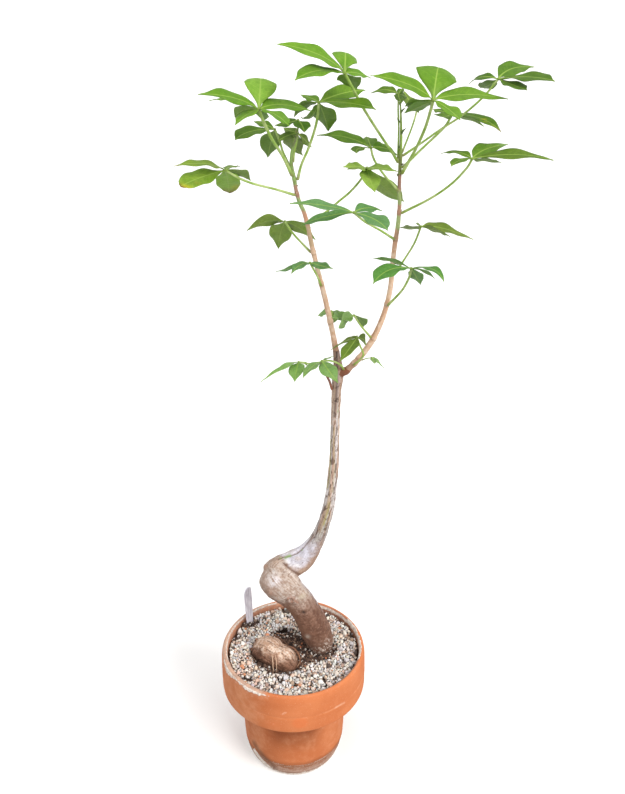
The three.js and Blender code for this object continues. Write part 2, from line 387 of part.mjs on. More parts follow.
// the tag stands in both, the trunk and its roots pass through both
function tagSolid(grow) {
  const pos = [], tri = [], out = [];
  const w = TAG.w / 2 + grow, h = TAG.h, n = 10;
  out.push([-w * 0.35, -TAG.below - 3 - grow], [w * 0.35, -TAG.below - 3 - grow], [w, -TAG.below + 6]);
  const cr = 5.5, top = h;
  for (let i = 0; i <= n / 2; i++) { const a = (Math.PI / 2) * (i / (n / 2)); out.push([w - cr + cr * Math.cos(a), top - cr + cr * Math.sin(a)]); }
  for (let i = 0; i <= n / 2; i++) { const a = Math.PI / 2 + (Math.PI / 2) * (i / (n / 2)); out.push([-w + cr + cr * Math.cos(a), top - cr + cr * Math.sin(a)]); }
  out.push([-w, -TAG.below + 6]);
  const c = Math.cos((TAG.turn * Math.PI) / 180), s = Math.sin((TAG.turn * Math.PI) / 180), t = TAG.t / 2 + grow;
  for (const y of [-t, t]) for (const [x, z] of out) {
    pos.push(TAG.x + x * c - y * s + TAG.lean[0] * z, TAG.y + x * s + y * c + TAG.lean[1] * z, GRAVEL_Z + z);
  }
  const m = out.length;
  for (let i = 0; i < m; i++) { const k = (i + 1) % m; tri.push(k, i, m + i, k, m + i, m + k); }
  const faces = THREE.ShapeUtils.triangulateShape(out.map((p) => new THREE.Vector2(p[0], p[1])), []);
  for (const f of faces) { tri.push(f[0], f[1], f[2]); tri.push(m + f[2], m + f[1], m + f[0]); }
  return solid(pos, tri);
}
const tag = tagSolid(0);
const cutters = [...trunkParts(GAP + 0.35), ...rootlets(GAP)];
let soil = soilRaw;
for (const c of cutters) soil = soil.subtract(c);
soil = biggest(soil.subtract(tagSolid(GAP)));

// opening in the gravel round the root and the foot of the trunk: distance from the axis every ten degrees
const OPENING = [45.6, 44.7, 42.8, 38.6, 34.1, 27.7, 25.3, 24.9, 26.0, 28.7, 30.7, 32.7, 34.0, 34.7, 33.2, 32.8, 36.5, 42.2, 44.1, 44.7, 44.4, 43.8, 42.8, 41.7, 40.3, 37.3, 34.2, 32.4, 30.5, 27.4, 26.2, 25.9, 29.5, 34.9, 41.2, 44.4];
function gravelSolid() {
  const seg = OPENING.length, outR = inR - 0.9 - g, rings = 4, pos = [], tri = [];
  const layer = (top) => {
    for (let j = 0; j <= rings; j++) for (let i = 0; i < seg; i++) {
      const a = (2 * Math.PI * i) / seg, r = OPENING[i] + (j / rings) * (outR - OPENING[i]);
      const z = top ? GRAVEL_Z + 0.8 * noise(a * 2, r * 1.9) - (j === 0 ? 2.2 : 0) : GRAVEL_Z - GRAVEL_T;
      pos.push(r * Math.cos(a), r * Math.sin(a), z);
    }
  };
  layer(true); layer(false);
  const N = (rings + 1) * seg;
  for (let j = 0; j < rings; j++) for (let i = 0; i < seg; i++) {
    const k = (i + 1) % seg, a = j * seg + i, b = j * seg + k;
    tri.push(a, a + seg, b + seg, a, b + seg, b);
    tri.push(N + a, N + b + seg, N + a + seg, N + a, N + b, N + b + seg);
  }
  for (let i = 0; i < seg; i++) {
    const k = (i + 1) % seg, o = rings * seg;
    tri.push(i, k, N + k, i, N + k, N + i);
    tri.push(o + k, o + i, N + o + i, o + k, N + o + i, N + o + k);
  }
  return solid(pos, tri);
}
let gravel = gravelSolid();
if (gravel.volume() < 0) throw new Error('gravel inside out');
for (const c of cutters) gravel = gravel.subtract(c);
gravel = biggest(gravel.subtract(tagSolid(GAP)));

// ---------------------------------------------------------------- shoots and leaves
const leftShoot = tube(LEFT_SHOOT, 8);
const rightShoot = tube(RIGHT_SHOOT, 8);
const twig = tube(TWIG, 6);

// smooth run of points through the measured ones
function smoothRun(pts, count) {
  const curve = new THREE.CatmullRomCurve3(pts.map(V), false, 'centripetal');
  return curve.getSpacedPoints(count).map((p) => [p.x, p.y, p.z]);
}
function leaf(name, rp, petiole, leaflets) {
  const hub = V(petiole[0]);
  const run = petiole.length > 2 ? smoothRun(petiole, 5) : petiole;
  const n = run.length - 1;
  const line = run.map((p, i) => [...p, rp * (i === 0 ? 0.95 : i === n ? 1.15 : 0.9)]);
  const parts = [tube(line, 6), ball(hub, Math.max(1.1, rp * 1.25))];
  for (const l of leaflets) parts.push(leaflet(hub, l));
  return biggest(join(parts));
}

// ---------------------------------------------------------------- the part
const PIECES = [
  ['pot', pot, 0xc8703f, 0.85], ['soil', soil, 0x3a2c22, 1.0], ['gravel_topdressing', gravel, 0xb9a897, 0.95], ['plant_label', tag, 0xd9d9dc, 0.5],
  ['trunk', trunk, 0x8d7566, 0.85], ['left_shoot', leftShoot, 0xa9865f, 0.7], ['right_shoot', rightShoot, 0xa9865f, 0.7], ['twig', twig, 0x8a5a3c, 0.8],
];
const GREENS = [0x6f9a35, 0x7aa63a, 0x5d8a38, 0x689a4a];
LEAVES.forEach(([name, rp, petiole, leaflets], i) => {
  PIECES.push([name, leaf(name, rp, petiole, leaflets), GREENS[i % 4], 0.55]);
});

// the origin: middle of the whole part's footprint, on the ground
const box = new THREE.Box3();
const made = PIECES.map(([name, man, color, rough]) => {
  const geo = toGeometry(man);
  geo.computeBoundingBox();
  box.union(geo.boundingBox);
  return [name, geo, color, rough];
});
const cx = (box.min.x + box.max.x) / 2, cy = (box.min.y + box.max.y) / 2;

const group = new THREE.Group();
group.name = 'floss_silk_tree';
for (const [name, geo, color, rough] of made) {
  geo.translate(-cx, -cy, -box.min.z);
  const mesh = new THREE.Mesh(geo, new THREE.MeshStandardMaterial({ color, roughness: rough, metalness: 0 }));
  mesh.name = name;
  group.add(mesh);
}
export default group;
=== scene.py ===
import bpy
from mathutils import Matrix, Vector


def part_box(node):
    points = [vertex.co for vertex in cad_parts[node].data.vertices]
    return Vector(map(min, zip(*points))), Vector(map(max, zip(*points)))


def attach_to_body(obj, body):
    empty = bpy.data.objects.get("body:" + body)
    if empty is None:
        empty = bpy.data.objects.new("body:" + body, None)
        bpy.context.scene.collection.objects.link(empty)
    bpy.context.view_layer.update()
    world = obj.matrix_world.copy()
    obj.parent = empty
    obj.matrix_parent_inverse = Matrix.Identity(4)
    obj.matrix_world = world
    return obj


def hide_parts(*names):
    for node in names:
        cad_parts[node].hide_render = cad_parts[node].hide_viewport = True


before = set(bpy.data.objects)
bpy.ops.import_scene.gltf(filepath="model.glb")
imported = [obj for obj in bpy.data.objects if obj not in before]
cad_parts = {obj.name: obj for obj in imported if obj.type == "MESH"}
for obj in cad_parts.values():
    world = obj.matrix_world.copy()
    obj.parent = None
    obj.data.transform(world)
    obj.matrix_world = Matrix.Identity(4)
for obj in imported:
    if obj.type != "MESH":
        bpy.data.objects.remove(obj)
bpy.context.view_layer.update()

import math

import bpy
import numpy as np
from mathutils import Matrix

scene = bpy.context.scene
lo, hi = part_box("pot")
AXIS = np.array([(lo[0] + hi[0]) * 500.0, (lo[1] + hi[1]) * 500.0, 0.0])   # the pot's axis in the part's frame

# ------------------------------------------------------------------ camera
cam_data = bpy.data.cameras.new("camera")
cam = bpy.data.objects.new("camera", cam_data)
scene.collection.objects.link(cam)
cam_data.sensor_width = 36.0
cam_data.lens = 36.0 * 801.5 / 794.0
cam.location = (np.array([20.7, -671.8, 750.25]) + AXIS) / 1000.0
cam.rotation_euler = (math.radians(65.0), 0.0, 0.0)
cam_data.clip_start, cam_data.clip_end = 0.01, 50.0
scene.camera = cam

# ------------------------------------------------------------------ measured lines
POT_H, RIM_R, RIM_Z, INNER_R, GRAVEL_Z = 142.5, 77.6, 94.7, 71, 136.2
BODY_IN = 47.6
POT_PROFILE = [[11.00, 0.00], [46.80, 0.00], [48.20, 1.20], [50.90, 6.50], [53.10, 13.00], [55.10, 23.00], [55.80, 36.00], [56.20, 60.00], [56.20, 91.70], [57.60, 94.30], [60.00, 94.70], [74.60, 94.70], [76.90, 95.70], [77.50, 98.10], [77.60, 114.90], [77.10, 115.70], [77.50, 116.70], [77.00, 135.50], [75.90, 140.70], [74.00, 142.50], [73.20, 142.50], [71.60, 141.50], [71.00, 139.10], [70.40, 118.50], [68.40, 108.50], [62.00, 101.50], [50.60, 90.70], [47.60, 83.70], [47.60, 50.00], [46.00, 26.00], [42.60, 14.00], [38.60, 9.50], [11.00, 9.50]]
SOIL_PROFILE = [[0.00, 9.85], [38.00, 9.85], [42.10, 14.35], [45.45, 26.50], [47.25, 50.50], [47.25, 84.10], [50.05, 91.10], [61.65, 102.10], [67.85, 109.10], [69.85, 119.10], [69.75, 130.25]]
TAG = { "w": 12.4, "t": 1.2, "h": 48, "below": 20, "x": -50.0, "y": 42.4, "turn": 56, "lean": [-0.03, 0] }
LOWER_ARM = [
  [30.0,4.0,60.0,5.00], [30.5,4.0,85.0,7.50], [30.5,4.0,105.0,9.00], [29.5,3.5,118.0,10.20], [30.6,5.0,128.8,10.41],
  [28.4,4.0,143.7,14.67], [24.4,2.0,160.1,15.76], [18.5,-1.0,178.3,15.51], [12.7,-3.0,193.3,14.73], [6.3,-4.0,205.3,14.89],
  [-2.5,-5.0,217.2,16.08], [-11.5,-5.0,226.1,17.55], [-18.6,-4.0,233.7,16.48], [-21.9,-2.0,239.1,12.35], [-24.6,-0.3,243.6,5.50]]
UPPER_ARM = [
  [-20.8,-5.7,233.4,5.00], [-18.9,-4.0,235.0,12.35], [-15.6,-1.0,237.7,15.21], [-10.3,4.0,239.4,14.40], [-3.2,10.0,239.6,13.81],
  [4.0,14.0,241.0,13.60], [11.8,17.0,244.8,12.36], [18.6,18.5,253.0,10.24], [23.9,19.0,262.1,8.43], [27.4,18.5,269.9,7.46],
  [30.0,18.0,277.7,6.91], [33.0,17.0,289.4,6.45], [37.2,16.0,308.2,6.08], [39.5,15.5,328.6,5.31], [41.1,15.0,347.4,5.15],
  [42.1,15.0,366.6,4.81], [42.3,15.0,384.4,4.66], [42.5,15.0,402.9,4.62], [43.0,15.0,421.0,4.57], [43.3,15.0,437.8,4.81],
  [44.5,15.0,452.2,5.38], [44.4,15.0,462.3,4.47], [43.2,15.0,471.3,3.43], [42.2,15.0,477.8,2.95]]
LEFT_SHOOT = [
  [42.1,15.0,478.1,2.86], [39.9,15.0,490.1,2.56], [36.3,14.5,507.7,2.45], [32.1,14.0,526.8,2.33], [28.6,13.5,540.8,2.26],
  [25.1,13.0,554.6,2.15], [21.5,12.5,570.0,2.09], [18.9,12.0,581.6,1.99], [17.0,11.0,592.2,1.89], [13.4,10.5,605.1,1.78],
  [9.4,10.0,614.5,1.69], [6.8,9.5,624.6,1.64], [5.5,9.0,632.9,1.58], [4.0,9.0,639.4,1.49], [3.1,8.0,647.6,1.32],
  [4.2,7.0,656.5,1.15], [7.0,6.0,664.5,0.89], [9.1,5.0,670.0,0.65]]
RIGHT_SHOOT = [
  [53.7,11.8,460.3,2.88], [59.1,11.5,465.8,2.87], [67.1,12.0,475.5,2.85], [75.5,13.0,488.9,2.74], [82.8,14.0,505.9,2.49],
  [87.6,15.0,522.7,2.34], [90.1,15.5,538.4,2.27], [91.1,16.0,558.3,2.20], [92.4,16.5,576.0,2.05], [94.2,17.0,590.8,1.90],
  [95.0,17.5,610.5,1.71], [94.2,18.0,623.0,1.61], [94.1,18.5,637.8,1.47], [94.1,19.0,647.5,1.38], [94.0,19.5,663.5,1.16],
  [93.2,20.0,679.2,0.90], [92.3,20.0,690.1,0.65]]
TWIG = [
  [38.7,10.9,440.2,1.22], [36.5,8.0,449.1,1.12], [33.1,5.0,457.5,1.01], [30.3,3.0,465.4,0.92], [28.9,2.0,470.2,0.82]]
KNOB = [[-34.2, 2, 120, 6], [-33, 0.8, 129, 11.2], [-29.6, -3, 137.2, 13.2], [-24, -7.8, 140.4, 13.6], [-17.2, -12.4, 139, 13.2],
  [-10.4, -15.6, 135.8, 12.7], [-5, -17.6, 130, 10.8], [-2.5, -18.2, 120, 6]]
KNOB_LINK = [[-20, -10, 128, 9], [-14, -8, 112, 8], [2, -3, 98, 7], [20, 2, 92, 7], [30, 4, 92, 7]]
ROOTLETS = [
  [[-12, -3.5, 139.5, 1.2], [-6.5, -5, 143, 1.3], [0.5, -8.8, 143.2, 1.3], [5.6, -14.5, 139.6, 1.3], [6.4, -20, 134, 1.2], [2.6, -24, 127, 1.1]],
  [[-22.5, -14.5, 149.2, 1.3], [-21.6, -20.5, 147.4, 1.5], [-21, -25.4, 140.6, 1.5], [-20.6, -27, 133, 1.4], [-20.4, -26.6, 126, 1.2]],
  [[-19.4, -17, 149, 1.0], [-18, -22.6, 146.4, 1.2], [-17.2, -26.4, 140, 1.2], [-17, -27.6, 132.5, 1.1], [-17.2, -27, 126, 1.0]]]
COLLAR = [[44.8, 15.0, 454.0], [51.6, 11.9, 458.2], [53.5, 11.8, 460.1]]
OPENING = [45.6, 44.7, 42.8, 38.6, 34.1, 27.7, 25.3, 24.9, 26.0, 28.7, 30.7, 32.7, 34.0, 34.7, 33.2, 32.8, 36.5, 42.2, 44.1, 44.7, 44.4, 43.8, 42.8, 41.7, 40.3, 37.3, 34.2, 32.4, 30.5, 27.4, 26.2, 25.9, 29.5, 34.9, 41.2, 44.4]
LEAVES = [
  ['leaf_l01', 0.97, [[-47.6,-26,645.5],[-37,-17.9,637.7],[-26.4,-10.8,632.3],[-10.8,-0.9,626.5],[5.7,8.3,619.9]], [
    [[-81.4,-64.5,654.8],[-61.9,-45.2,657.1],13.0,4,'std'],
    [[-78.4,-59.7,639.2],[-69.1,-42.8,642.7],17.0,16,'blunt'],
    [[-49.2,10.6,621.1],[-47.5,-7.7,635],20.0,-2,'blunt'],
    [[-30.2,2.8,632.7],[-36.7,-11.6,642.3],14.0,30,'std'],
    [[-39.2,6.9,643.3],[-45.5,-9.6,646.8],10.0,6,'std']]],
  ['leaf_l02', 1.25, [[-19.6,-36,691.8],[-16.7,-27.7,682],[-11.1,-15.7,667.6],[-3,-2.9,652.4],[3.5,6.1,636.9]], [
    [[-58.7,-79.4,705.7],[-45.8,-57.7,705.7],17.0,18,'std'],
    [[-60,-6.8,695.4],[-41.7,-21.4,701.3],13.0,-8,'std'],
    [[-21.6,14.4,699.7],[-17,-18,727.3],24.0,8,'crest'],
    [[21.8,-1.8,686.4],[-1.7,-18.9,697.5],16.0,-12,'std'],
    [[-34.4,-72.5,684.7],[-28.8,-54.2,690.2],14.0,-12,'std'],
    [[-40.2,-10.3,683.5],[-35.6,-23.1,692],13.0,-34,'std'],
    [[4.1,-72.1,683.7],[-4.9,-54.1,691.4],14.0,14,'ob'],
    [[-17.5,-4,680.6],[-19.6,-20,685.1],13.0,-12,'std']]],
  ['leaf_l03', 0.91, [[-10.3,18,671.2],[-6.4,15.8,662.4],[-4,14,654.7],[1.9,10.6,642.3]], [
    [[-40.6,-13.5,666.6],[-35.1,2.3,673.1],15.0,6,'ob'],
    [[-28.6,36,675.4],[-22,27,676.1],9.0,4,'std'],
    [[-18.2,48.9,643.9],[-15.6,33.4,657.6],18.0,-10,'std']]],
  ['leaf_l04', 0.83, [[8.7,16,668.3],[7.4,13.7,661.1],[5.8,11.7,655],[4.8,10.2,646.9]], [
    [[19.8,32.6,655],[15.5,24.3,661.2],8.0,-62,'std'],
    [[12.4,49,646],[-0.8,32.5,656.5],17.0,2,'std'],
    [[-7,-4.4,664.6],[-2.2,5.8,667.8],9.0,12,'std'],
    [[-3.7,31.5,670.9],[1.8,23.7,669.1],9.0,14,'std']]],
  ['leaf_l05', 0.65, [[9.2,4,679.8],[9.3,4.5,675.5],[7.5,5.3,670.7]], [
    [[-10.3,20.2,674.1],[-1.1,12.1,676.2],9.0,24,'std'],
    [[14.4,-20.7,673.5],[13.4,-8.3,676.8],14.0,8,'std']]],
  ['leaf_l06', 1.08, [[25.6,2,693.5],[25.2,2.8,686.3],[22.9,4.2,674],[17.2,6.2,657.4],[11.5,7.7,644.4],[8.5,8.7,633.1]], [
    [[10.8,23,697.5],[20.1,12.5,696.1],10.0,2,'std'],
    [[5.3,28.2,679.6],[12.2,15.1,692.4],12.0,-26,'std'],
    [[11.1,24.5,680],[18.7,13.2,675.2],9.0,-16,'std'],
    [[34,36.4,667.5],[32.1,19.2,680],20.0,2,'std'],
    [[68,-40.5,692.2],[51.7,-19.2,696.2],17.0,-6,'ob'],
    [[65.1,38.3,699.9],[48.2,20.1,701.5],17.0,-18,'std']]],
  ['leaf_l07', 0.96, [[-3.5,30,592.7],[3.1,24.3,584.3],[11,18.5,576.8],[18.9,14.4,569.7]], [
    [[-39,52.4,579.4],[-20,41.2,594.8],14.0,-64,'std'],
    [[-10.8,57.2,561.5],[-10,43.6,577.7],20.0,-30,'std'],
    [[23.4,53.7,570.8],[9.8,41.8,586],15.0,54,'std']]],
  ['leaf_l08', 0.89, [[18.5,-12,567.4],[21.9,-3.3,558.7],[25,4.6,550.5],[28.2,10,540.9]], [
    [[-11.5,13.2,552.3],[1.9,0.6,558.8],9.0,2,'std'],
    [[3.5,-40.2,566.1],[8.6,-26.1,570.9],11.0,-6,'std'],
    [[37.4,-32.6,568.1],[28.8,-22.3,567],10.0,-4,'std']]],
  ['leaf_l09', 0.98, [[65.7,8,642],[61.8,8.4,633.8],[52.5,9.1,622.6],[43.2,9.6,614.6],[32.1,10.3,605.2],[18.3,10.8,597]], [
    [[44.9,-18.4,647],[56.5,-5.2,645.5],12.0,12,'std'],
    [[50.3,33.2,636.7],[57.6,20.6,640.7],10.0,-30,'std'],
    [[70.3,-27.3,628.6],[66.9,-9.7,634.9],17.0,12,'std'],
    [[101.9,44.5,607.2],[83.5,26.2,619.6],17.0,50,'ob'],
    [[87.9,-22.8,644.2],[71.8,-7.4,645.8],13.0,-2,'std']]],
  ['leaf_l10', 0.82, [[38,21,513.1],[37.8,18.3,510.2],[38.3,17.9,506.5]], [
    [[25.8,34.1,504.2],[29.2,27.6,510],9.0,24,'std'],
    [[47.7,36.6,505.3],[41.5,28.8,509.5],8.0,38,'std'],
    [[40.6,28.6,499.3],[40.8,24.8,505.6],9.0,16,'std']]],
  ['leaf_r01', 1.13, [[44.9,-24,716.3],[51.2,-17.2,705.6],[60.5,-7.7,690.1],[76.7,6.3,666.8],[87.4,14.8,652.2],[91.8,17.4,645.6]], [
    [[-6,-56.8,737.1],[13.5,-40.4,737],18.0,18,'std'],
    [[8.1,-60.7,713.6],[20.9,-42.3,722.5],16.0,8,'ob'],
    [[46.1,18,720.4],[46.2,-9,741.1],20.0,2,'crest'],
    [[66.6,4.2,711.1],[55.1,-9.9,717.1],10.0,-24,'std'],
    [[56.1,9.8,703],[48.9,-7.1,708.4],18.0,12,'std']]],
  ['leaf_r02', 1.26, [[112.2,-26,697.4],[111.7,-21.3,691.2],[109.5,-9.8,675.6],[104.1,4.2,656.5],[95.8,16,636.7]], [
    [[61.6,-63.7,716.8],[83.6,-44.8,714.3],18.0,24,'std'],
    [[124.5,34.5,704.4],[118.1,-4.4,736.7],32.0,6,'crest'],
    [[173.4,-7.3,696.5],[140.5,-16.7,704.2],18.0,-6,'std'],
    [[127.2,-63.8,686.9],[123.4,-44.9,692.4],14.0,8,'ob'],
    [[94.5,9.9,684.5],[102.4,-8.1,690.4],13.0,-26,'std'],
    [[94.4,4.5,690.3],[98.8,-10.7,693.8],12.0,-30,'std']]],
  ['leaf_r03', 0.75, [[91,26,697.7],[91,24.4,686.6],[91.9,22.2,671.1],[92.3,21,647.9]], [
    [[69.5,46.9,696.9],[79.6,36.4,703.4],9.0,18,'std'],
    [[95.6,36.4,701.6],[93.2,31.2,700.8],6.0,2,'std'],
    [[99.8,41.3,694.2],[95.4,33.7,696.6],8.0,-48,'std'],
    [[91.8,6.7,692.4],[89.8,16.4,695.4],9.0,14,'std']]],
  ['leaf_r04', 0.75, [[108.4,40,684],[105.7,34.7,675.7],[100.6,26.9,663.8],[95.6,20.9,652.7]], [
    [[99.7,70.1,697.2],[102.2,55,690.1],11.0,-6,'std'],
    [[114.1,17.4,689.6],[112.3,28.7,689.2],10.0,-52,'std'],
    [[104.3,59.4,686.6],[104.6,49.7,684.7],9.0,-8,'std']]],
  ['leaf_r05', 1.01, [[136,27,681.7],[131.5,25.7,673.9],[124.7,24.3,666.9],[111.8,21.7,655.2],[96.7,19,641]], [
    [[117.8,3.3,684.5],[126.1,15.2,679.8],10.0,6,'std'],
    [[124,56.6,683.2],[127.9,41.8,683.8],10.0,4,'std'],
    [[168.6,-15.1,672.8],[161.8,5.9,683.8],14.0,4,'std'],
    [[167.5,48.8,670.2],[153.5,37.9,678.8],12.0,28,'std']]],
  ['leaf_r06', 0.92, [[167.3,8,710.3],[161.4,9.3,701.9],[154,10.6,693.6],[140.8,12.8,681.9],[125.6,14.9,671.6],[108.5,17.3,659],[96.3,18.8,650.4]], [
    [[150.4,39.2,704.5],[153,23.6,713.9],9.0,20,'std'],
    [[160.1,38,701.8],[162.2,23,703.3],12.0,-26,'blunt'],
    [[203.6,41.7,717.4],[179.9,24.8,720.9],17.0,-12,'std'],
    [[198.6,-40.8,711.7],[189.8,-16.4,715.1],15.0,-10,'ob'],
    [[182.1,-28.7,704.7],[177.2,-10.4,706],13.0,-2,'ob']]],
  ['leaf_r07', 0.99, [[147,-18,653.1],[144.1,-13.9,645.5],[133.9,-4.9,631.1],[119.2,5,617.7],[97.2,16,603.3]], [
    [[126.6,11.7,653],[137.7,-3.2,658.9],10.0,-2,'std'],
    [[126.9,-40.1,650.8],[133.3,-29.1,654.9],11.0,-12,'ob'],
    [[181.2,11.9,660.2],[158.3,-3.1,660.7],15.0,-8,'std'],
    [[212.8,-13,651.2],[187.5,-15.5,659.5],15.0,0,'std'],
    [[176.3,8.4,646.3],[161,-4.8,649.4],10.0,34,'std']]],
  ['leaf_r08', 0.93, [[69.4,22,656],[71.4,21.5,648.8],[74.7,18,642.8],[82.5,11,633.3],[87.8,12.5,628.1],[92.3,16.1,622.6]], [
    [[24.3,36.2,664.3],[45.3,29.1,668.2],15.0,4,'std'],
    [[56.4,-2.8,655.1],[53.8,9.6,658.5],11.0,-6,'ob'],
    [[67.7,55.6,660.7],[68.3,38.8,661.1],14.0,0,'std'],
    [[95.3,41.7,646.2],[83,31.8,657],12.0,-20,'std']]],
  ['leaf_r09', 0.96, [[53,-42,615.9],[63.6,-23.7,604.4],[77.9,-2.8,592.5],[91.2,14.5,581]], [
    [[3.8,-69.9,628.6],[24,-56,627],13.0,2,'std'],
    [[11.3,-23.3,601.4],[24.8,-32.7,611],14.0,4,'std'],
    [[76.8,-20.8,612.8],[64.7,-31.4,620.1],12.0,-8,'std'],
    [[77,-75.9,609.8],[73.5,-58.9,614.4],15.0,-2,'ob']]],
  ['leaf_r10', 0.88, [[110.3,-12,598],[106.9,-2.8,582],[100.3,7.1,565.2],[93.2,13.3,550.7]], [
    [[96.7,24.4,588.7],[103.1,6.2,591.3],10.0,-30,'std'],
    [[156.9,-0.2,584.1],[130.6,-6.1,597.7],14.0,-2,'std'],
    [[130.2,-39.6,596.3],[122.9,-25.8,598],10.0,52,'std'],
    [[109.3,2,598.1],[108.9,-5,597.5],6.0,-28,'std']]],
  ['leaf_r11', 1.03, [[101.3,-34,568.7],[101.3,-23.9,558.3],[97.8,-7,541.7],[88.2,11.5,522.2]], [
    [[71.6,-10.4,570.6],[84.9,-22.2,574.1],9.0,-56,'std'],
    [[68.1,-65.7,565.5],[77.2,-49.8,575.7],16.0,0,'ob'],
    [[122.8,-70.1,568.5],[121.2,-52,577.3],11.0,12,'std'],
    [[123.3,-21.8,556.4],[113.1,-27.9,566.5],8.0,36,'std'],
    [[113.4,-10.2,547.7],[108.1,-22.1,557.7],12.0,24,'std']]],
  ['leaf_r12', 0.87, [[56.9,-8,519.3],[63.9,1.6,506.1],[73.5,11.1,491.7]], [
    [[42.7,-38.9,519.1],[45.1,-23.4,519.7],15.0,-88,'std'],
    [[37.1,-29.9,524.7],[44.4,-18.9,520.1],15.0,4,'std'],
    [[65.8,8.8,501.6],[66.6,0.4,513.2],12.0,14,'std']]],
  ['leaf_r13', 0.83, [[60.1,-8,498.4],[63.7,0,487.1],[66.8,1.5,478.8],[64.1,3.5,473.1],[58.9,7.5,466.2]], [
    [[37.3,6.6,481.2],[53.2,-0.7,495.9],8.0,-4,'std'],
    [[43.9,-41.1,489.1],[53,-24.6,494.7],14.0,-16,'std'],
    [[65.8,-27.1,499.2],[69.1,-17.6,501.5],10.0,88,'std'],
    [[57.4,1.5,496.7],[58,-3.2,498.2],5.0,-6,'std']]],
  ['leaf_r14', 0.46, [[74.6,6,473.5],[70.3,8.9,471.9],[66.4,9.8,469.8]], [
    [[87,14.2,460.1],[79.8,10.1,470.2],6.0,-6,'std'],
    [[76.8,-5.8,472.7],[76.8,0.1,472.6],6.0,16,'std']]],
  ['leaf_t01', 0.84, [[29,-12,478],[37.4,-4,474.7],[45.8,4.3,467.8],[49.4,9.6,460.8]], [
    [[12.2,-36.2,472.1],[17.4,-24.1,476.9],12.0,-22,'std'],
    [[42.5,-44.6,471.1],[35,-28.3,474.8],15.0,0,'std'],
    [[39.8,4.7,476],[34.2,-3.7,476.8],4.0,22,'std']]],
  ['leaf_t02', 0.82, [[8,12,467.1],[12.8,9.7,467],[21.1,5.7,467.7],[28,2.7,469.2]], [
    [[-25.6,-15.3,459.2],[-3.8,-1.7,471.3],9.0,-22,'std'],
    [[4.9,-21.4,461.7],[5.8,-4.7,465.8],15.0,-14,'std'],
    [[16,25.1,457.6],[13.2,18.5,464.7],5.0,30,'std']]]
]
OUTLINES = {
  "std": [[0, .07], [.05, .10], [.14, .28], [.28, .68], [.42, .94], [.54, 1], [.66, .91], [.78, .64], [.87, .35], [.94, .13], [1, 0]],
  "ob": [[0, .07], [.05, .10], [.14, .26], [.28, .58], [.42, .84], [.56, .98], [.70, 1], [.80, .82], [.87, .44], [.925, .13], [1, 0]],
  "blunt": [[0, .07], [.05, .10], [.14, .30], [.28, .68], [.42, .92], [.58, 1], [.74, .97], [.86, .78], [.94, .50], [.985, .20], [1, 0]],
  "crest": [[0, .07], [.05, .12], [.13, .34], [.24, .72], [.35, .97], [.46, 1], [.58, .90], [.71, .68], [.84, .36], [.93, .14], [1, 0]],
}

# ------------------------------------------------------------------ noise
def lattice(ix, iy, iz, seed):
    n = (ix * 374761393 + iy * 668265263 + iz * 1440662683 + seed * 1274126177) & 0xFFFFFFFF
    n = ((n ^ (n >> 13)) * 1274126177) & 0xFFFFFFFF
    n = ((n ^ (n >> 16)) * 1103515245) & 0xFFFFFFFF
    return (n ^ (n >> 15)) / 2147483648.0 - 1.0


def noise(p, seed=0):
    f = np.floor(p)
    u = p - f
    u = u * u * u * (u * (u * 6 - 15) + 10)
    i = f.astype(np.int64)
    out = np.zeros(len(p))
    for dx in (0, 1):
        wx = u[:, 0] if dx else 1 - u[:, 0]
        for dy in (0, 1):
            wy = u[:, 1] if dy else 1 - u[:, 1]
            for dz in (0, 1):
                wz = u[:, 2] if dz else 1 - u[:, 2]
                out += wx * wy * wz * lattice(i[:, 0] + dx, i[:, 1] + dy, i[:, 2] + dz, seed)
    return out


def fbm(p, octaves=4, seed=0, gain=0.5):
    p = np.asarray(p, float)
    out, amp, tot = np.zeros(len(p)), 1.0, 0.0
    for o in range(octaves):
        out += amp * noise(p * (2.03 ** o) + 17.3 * o, seed + o)
        tot += amp
        amp *= gain
    return out / tot


def cells(p, seed=0):
    """distance to the nearest scattered point, in cells, and a number for that point"""
    f = np.floor(p).astype(np.int64)
    best, who = np.full(len(p), 9.0), np.zeros(len(p))
    for dx in (-1, 0, 1):
        for dy in (-1, 0, 1):
            for dz in (-1, 0, 1):
                c = f + (dx, dy, dz)
                q = c + 0.5 + 0.45 * np.stack([lattice(c[:, 0], c[:, 1], c[:, 2], seed + k) for k in (1, 2, 3)], 1)
                d = np.sqrt(((p - q) ** 2).sum(1))
                m = d < best
                best[m] = d[m]
                who[m] = lattice(c[:, 0], c[:, 1], c[:, 2], seed + 5)[m]
    return best, who


def step(a, b, x):
    t = np.clip((np.asarray(x, float) - a) / (b - a), 0, 1)
    return t * t * (3 - 2 * t)


def lin(r, g, b):
    c = np.array([r, g, b], float) / 255.0
    return np.where(c <= 0.04045, c / 12.92, ((c + 0.055) / 1.055) ** 2.4)


def mixc(a, b, t):
    t = np.asarray(t, float)[:, None]
    return a * (1 - t) + b * t


def unit(v):
    return v / np.maximum(np.linalg.norm(v, axis=-1, keepdims=True), 1e-12)


# ------------------------------------------------------------------ meshes
class Geo:
    def __init__(self):
        self.v, self.q, self.t, self.n, self.a = [], [], [], 0, {}

    def add(self, v, q=None, t=None, **attrs):
        v = np.asarray(v, float)
        if q is not None and len(q):
            self.q.append(np.asarray(q, np.int64) + self.n)
        if t is not None and len(t):
            self.t.append(np.asarray(t, np.int64) + self.n)
        self.v.append(v)
        for k, x in attrs.items():
            self.a.setdefault(k, []).append((self.n, np.broadcast_to(np.asarray(x, float), (len(v),) + np.shape(x)[1:] if np.ndim(x) and len(x) == len(v) else (len(v),) + np.shape(x))))
        self.n += len(v)
        return self


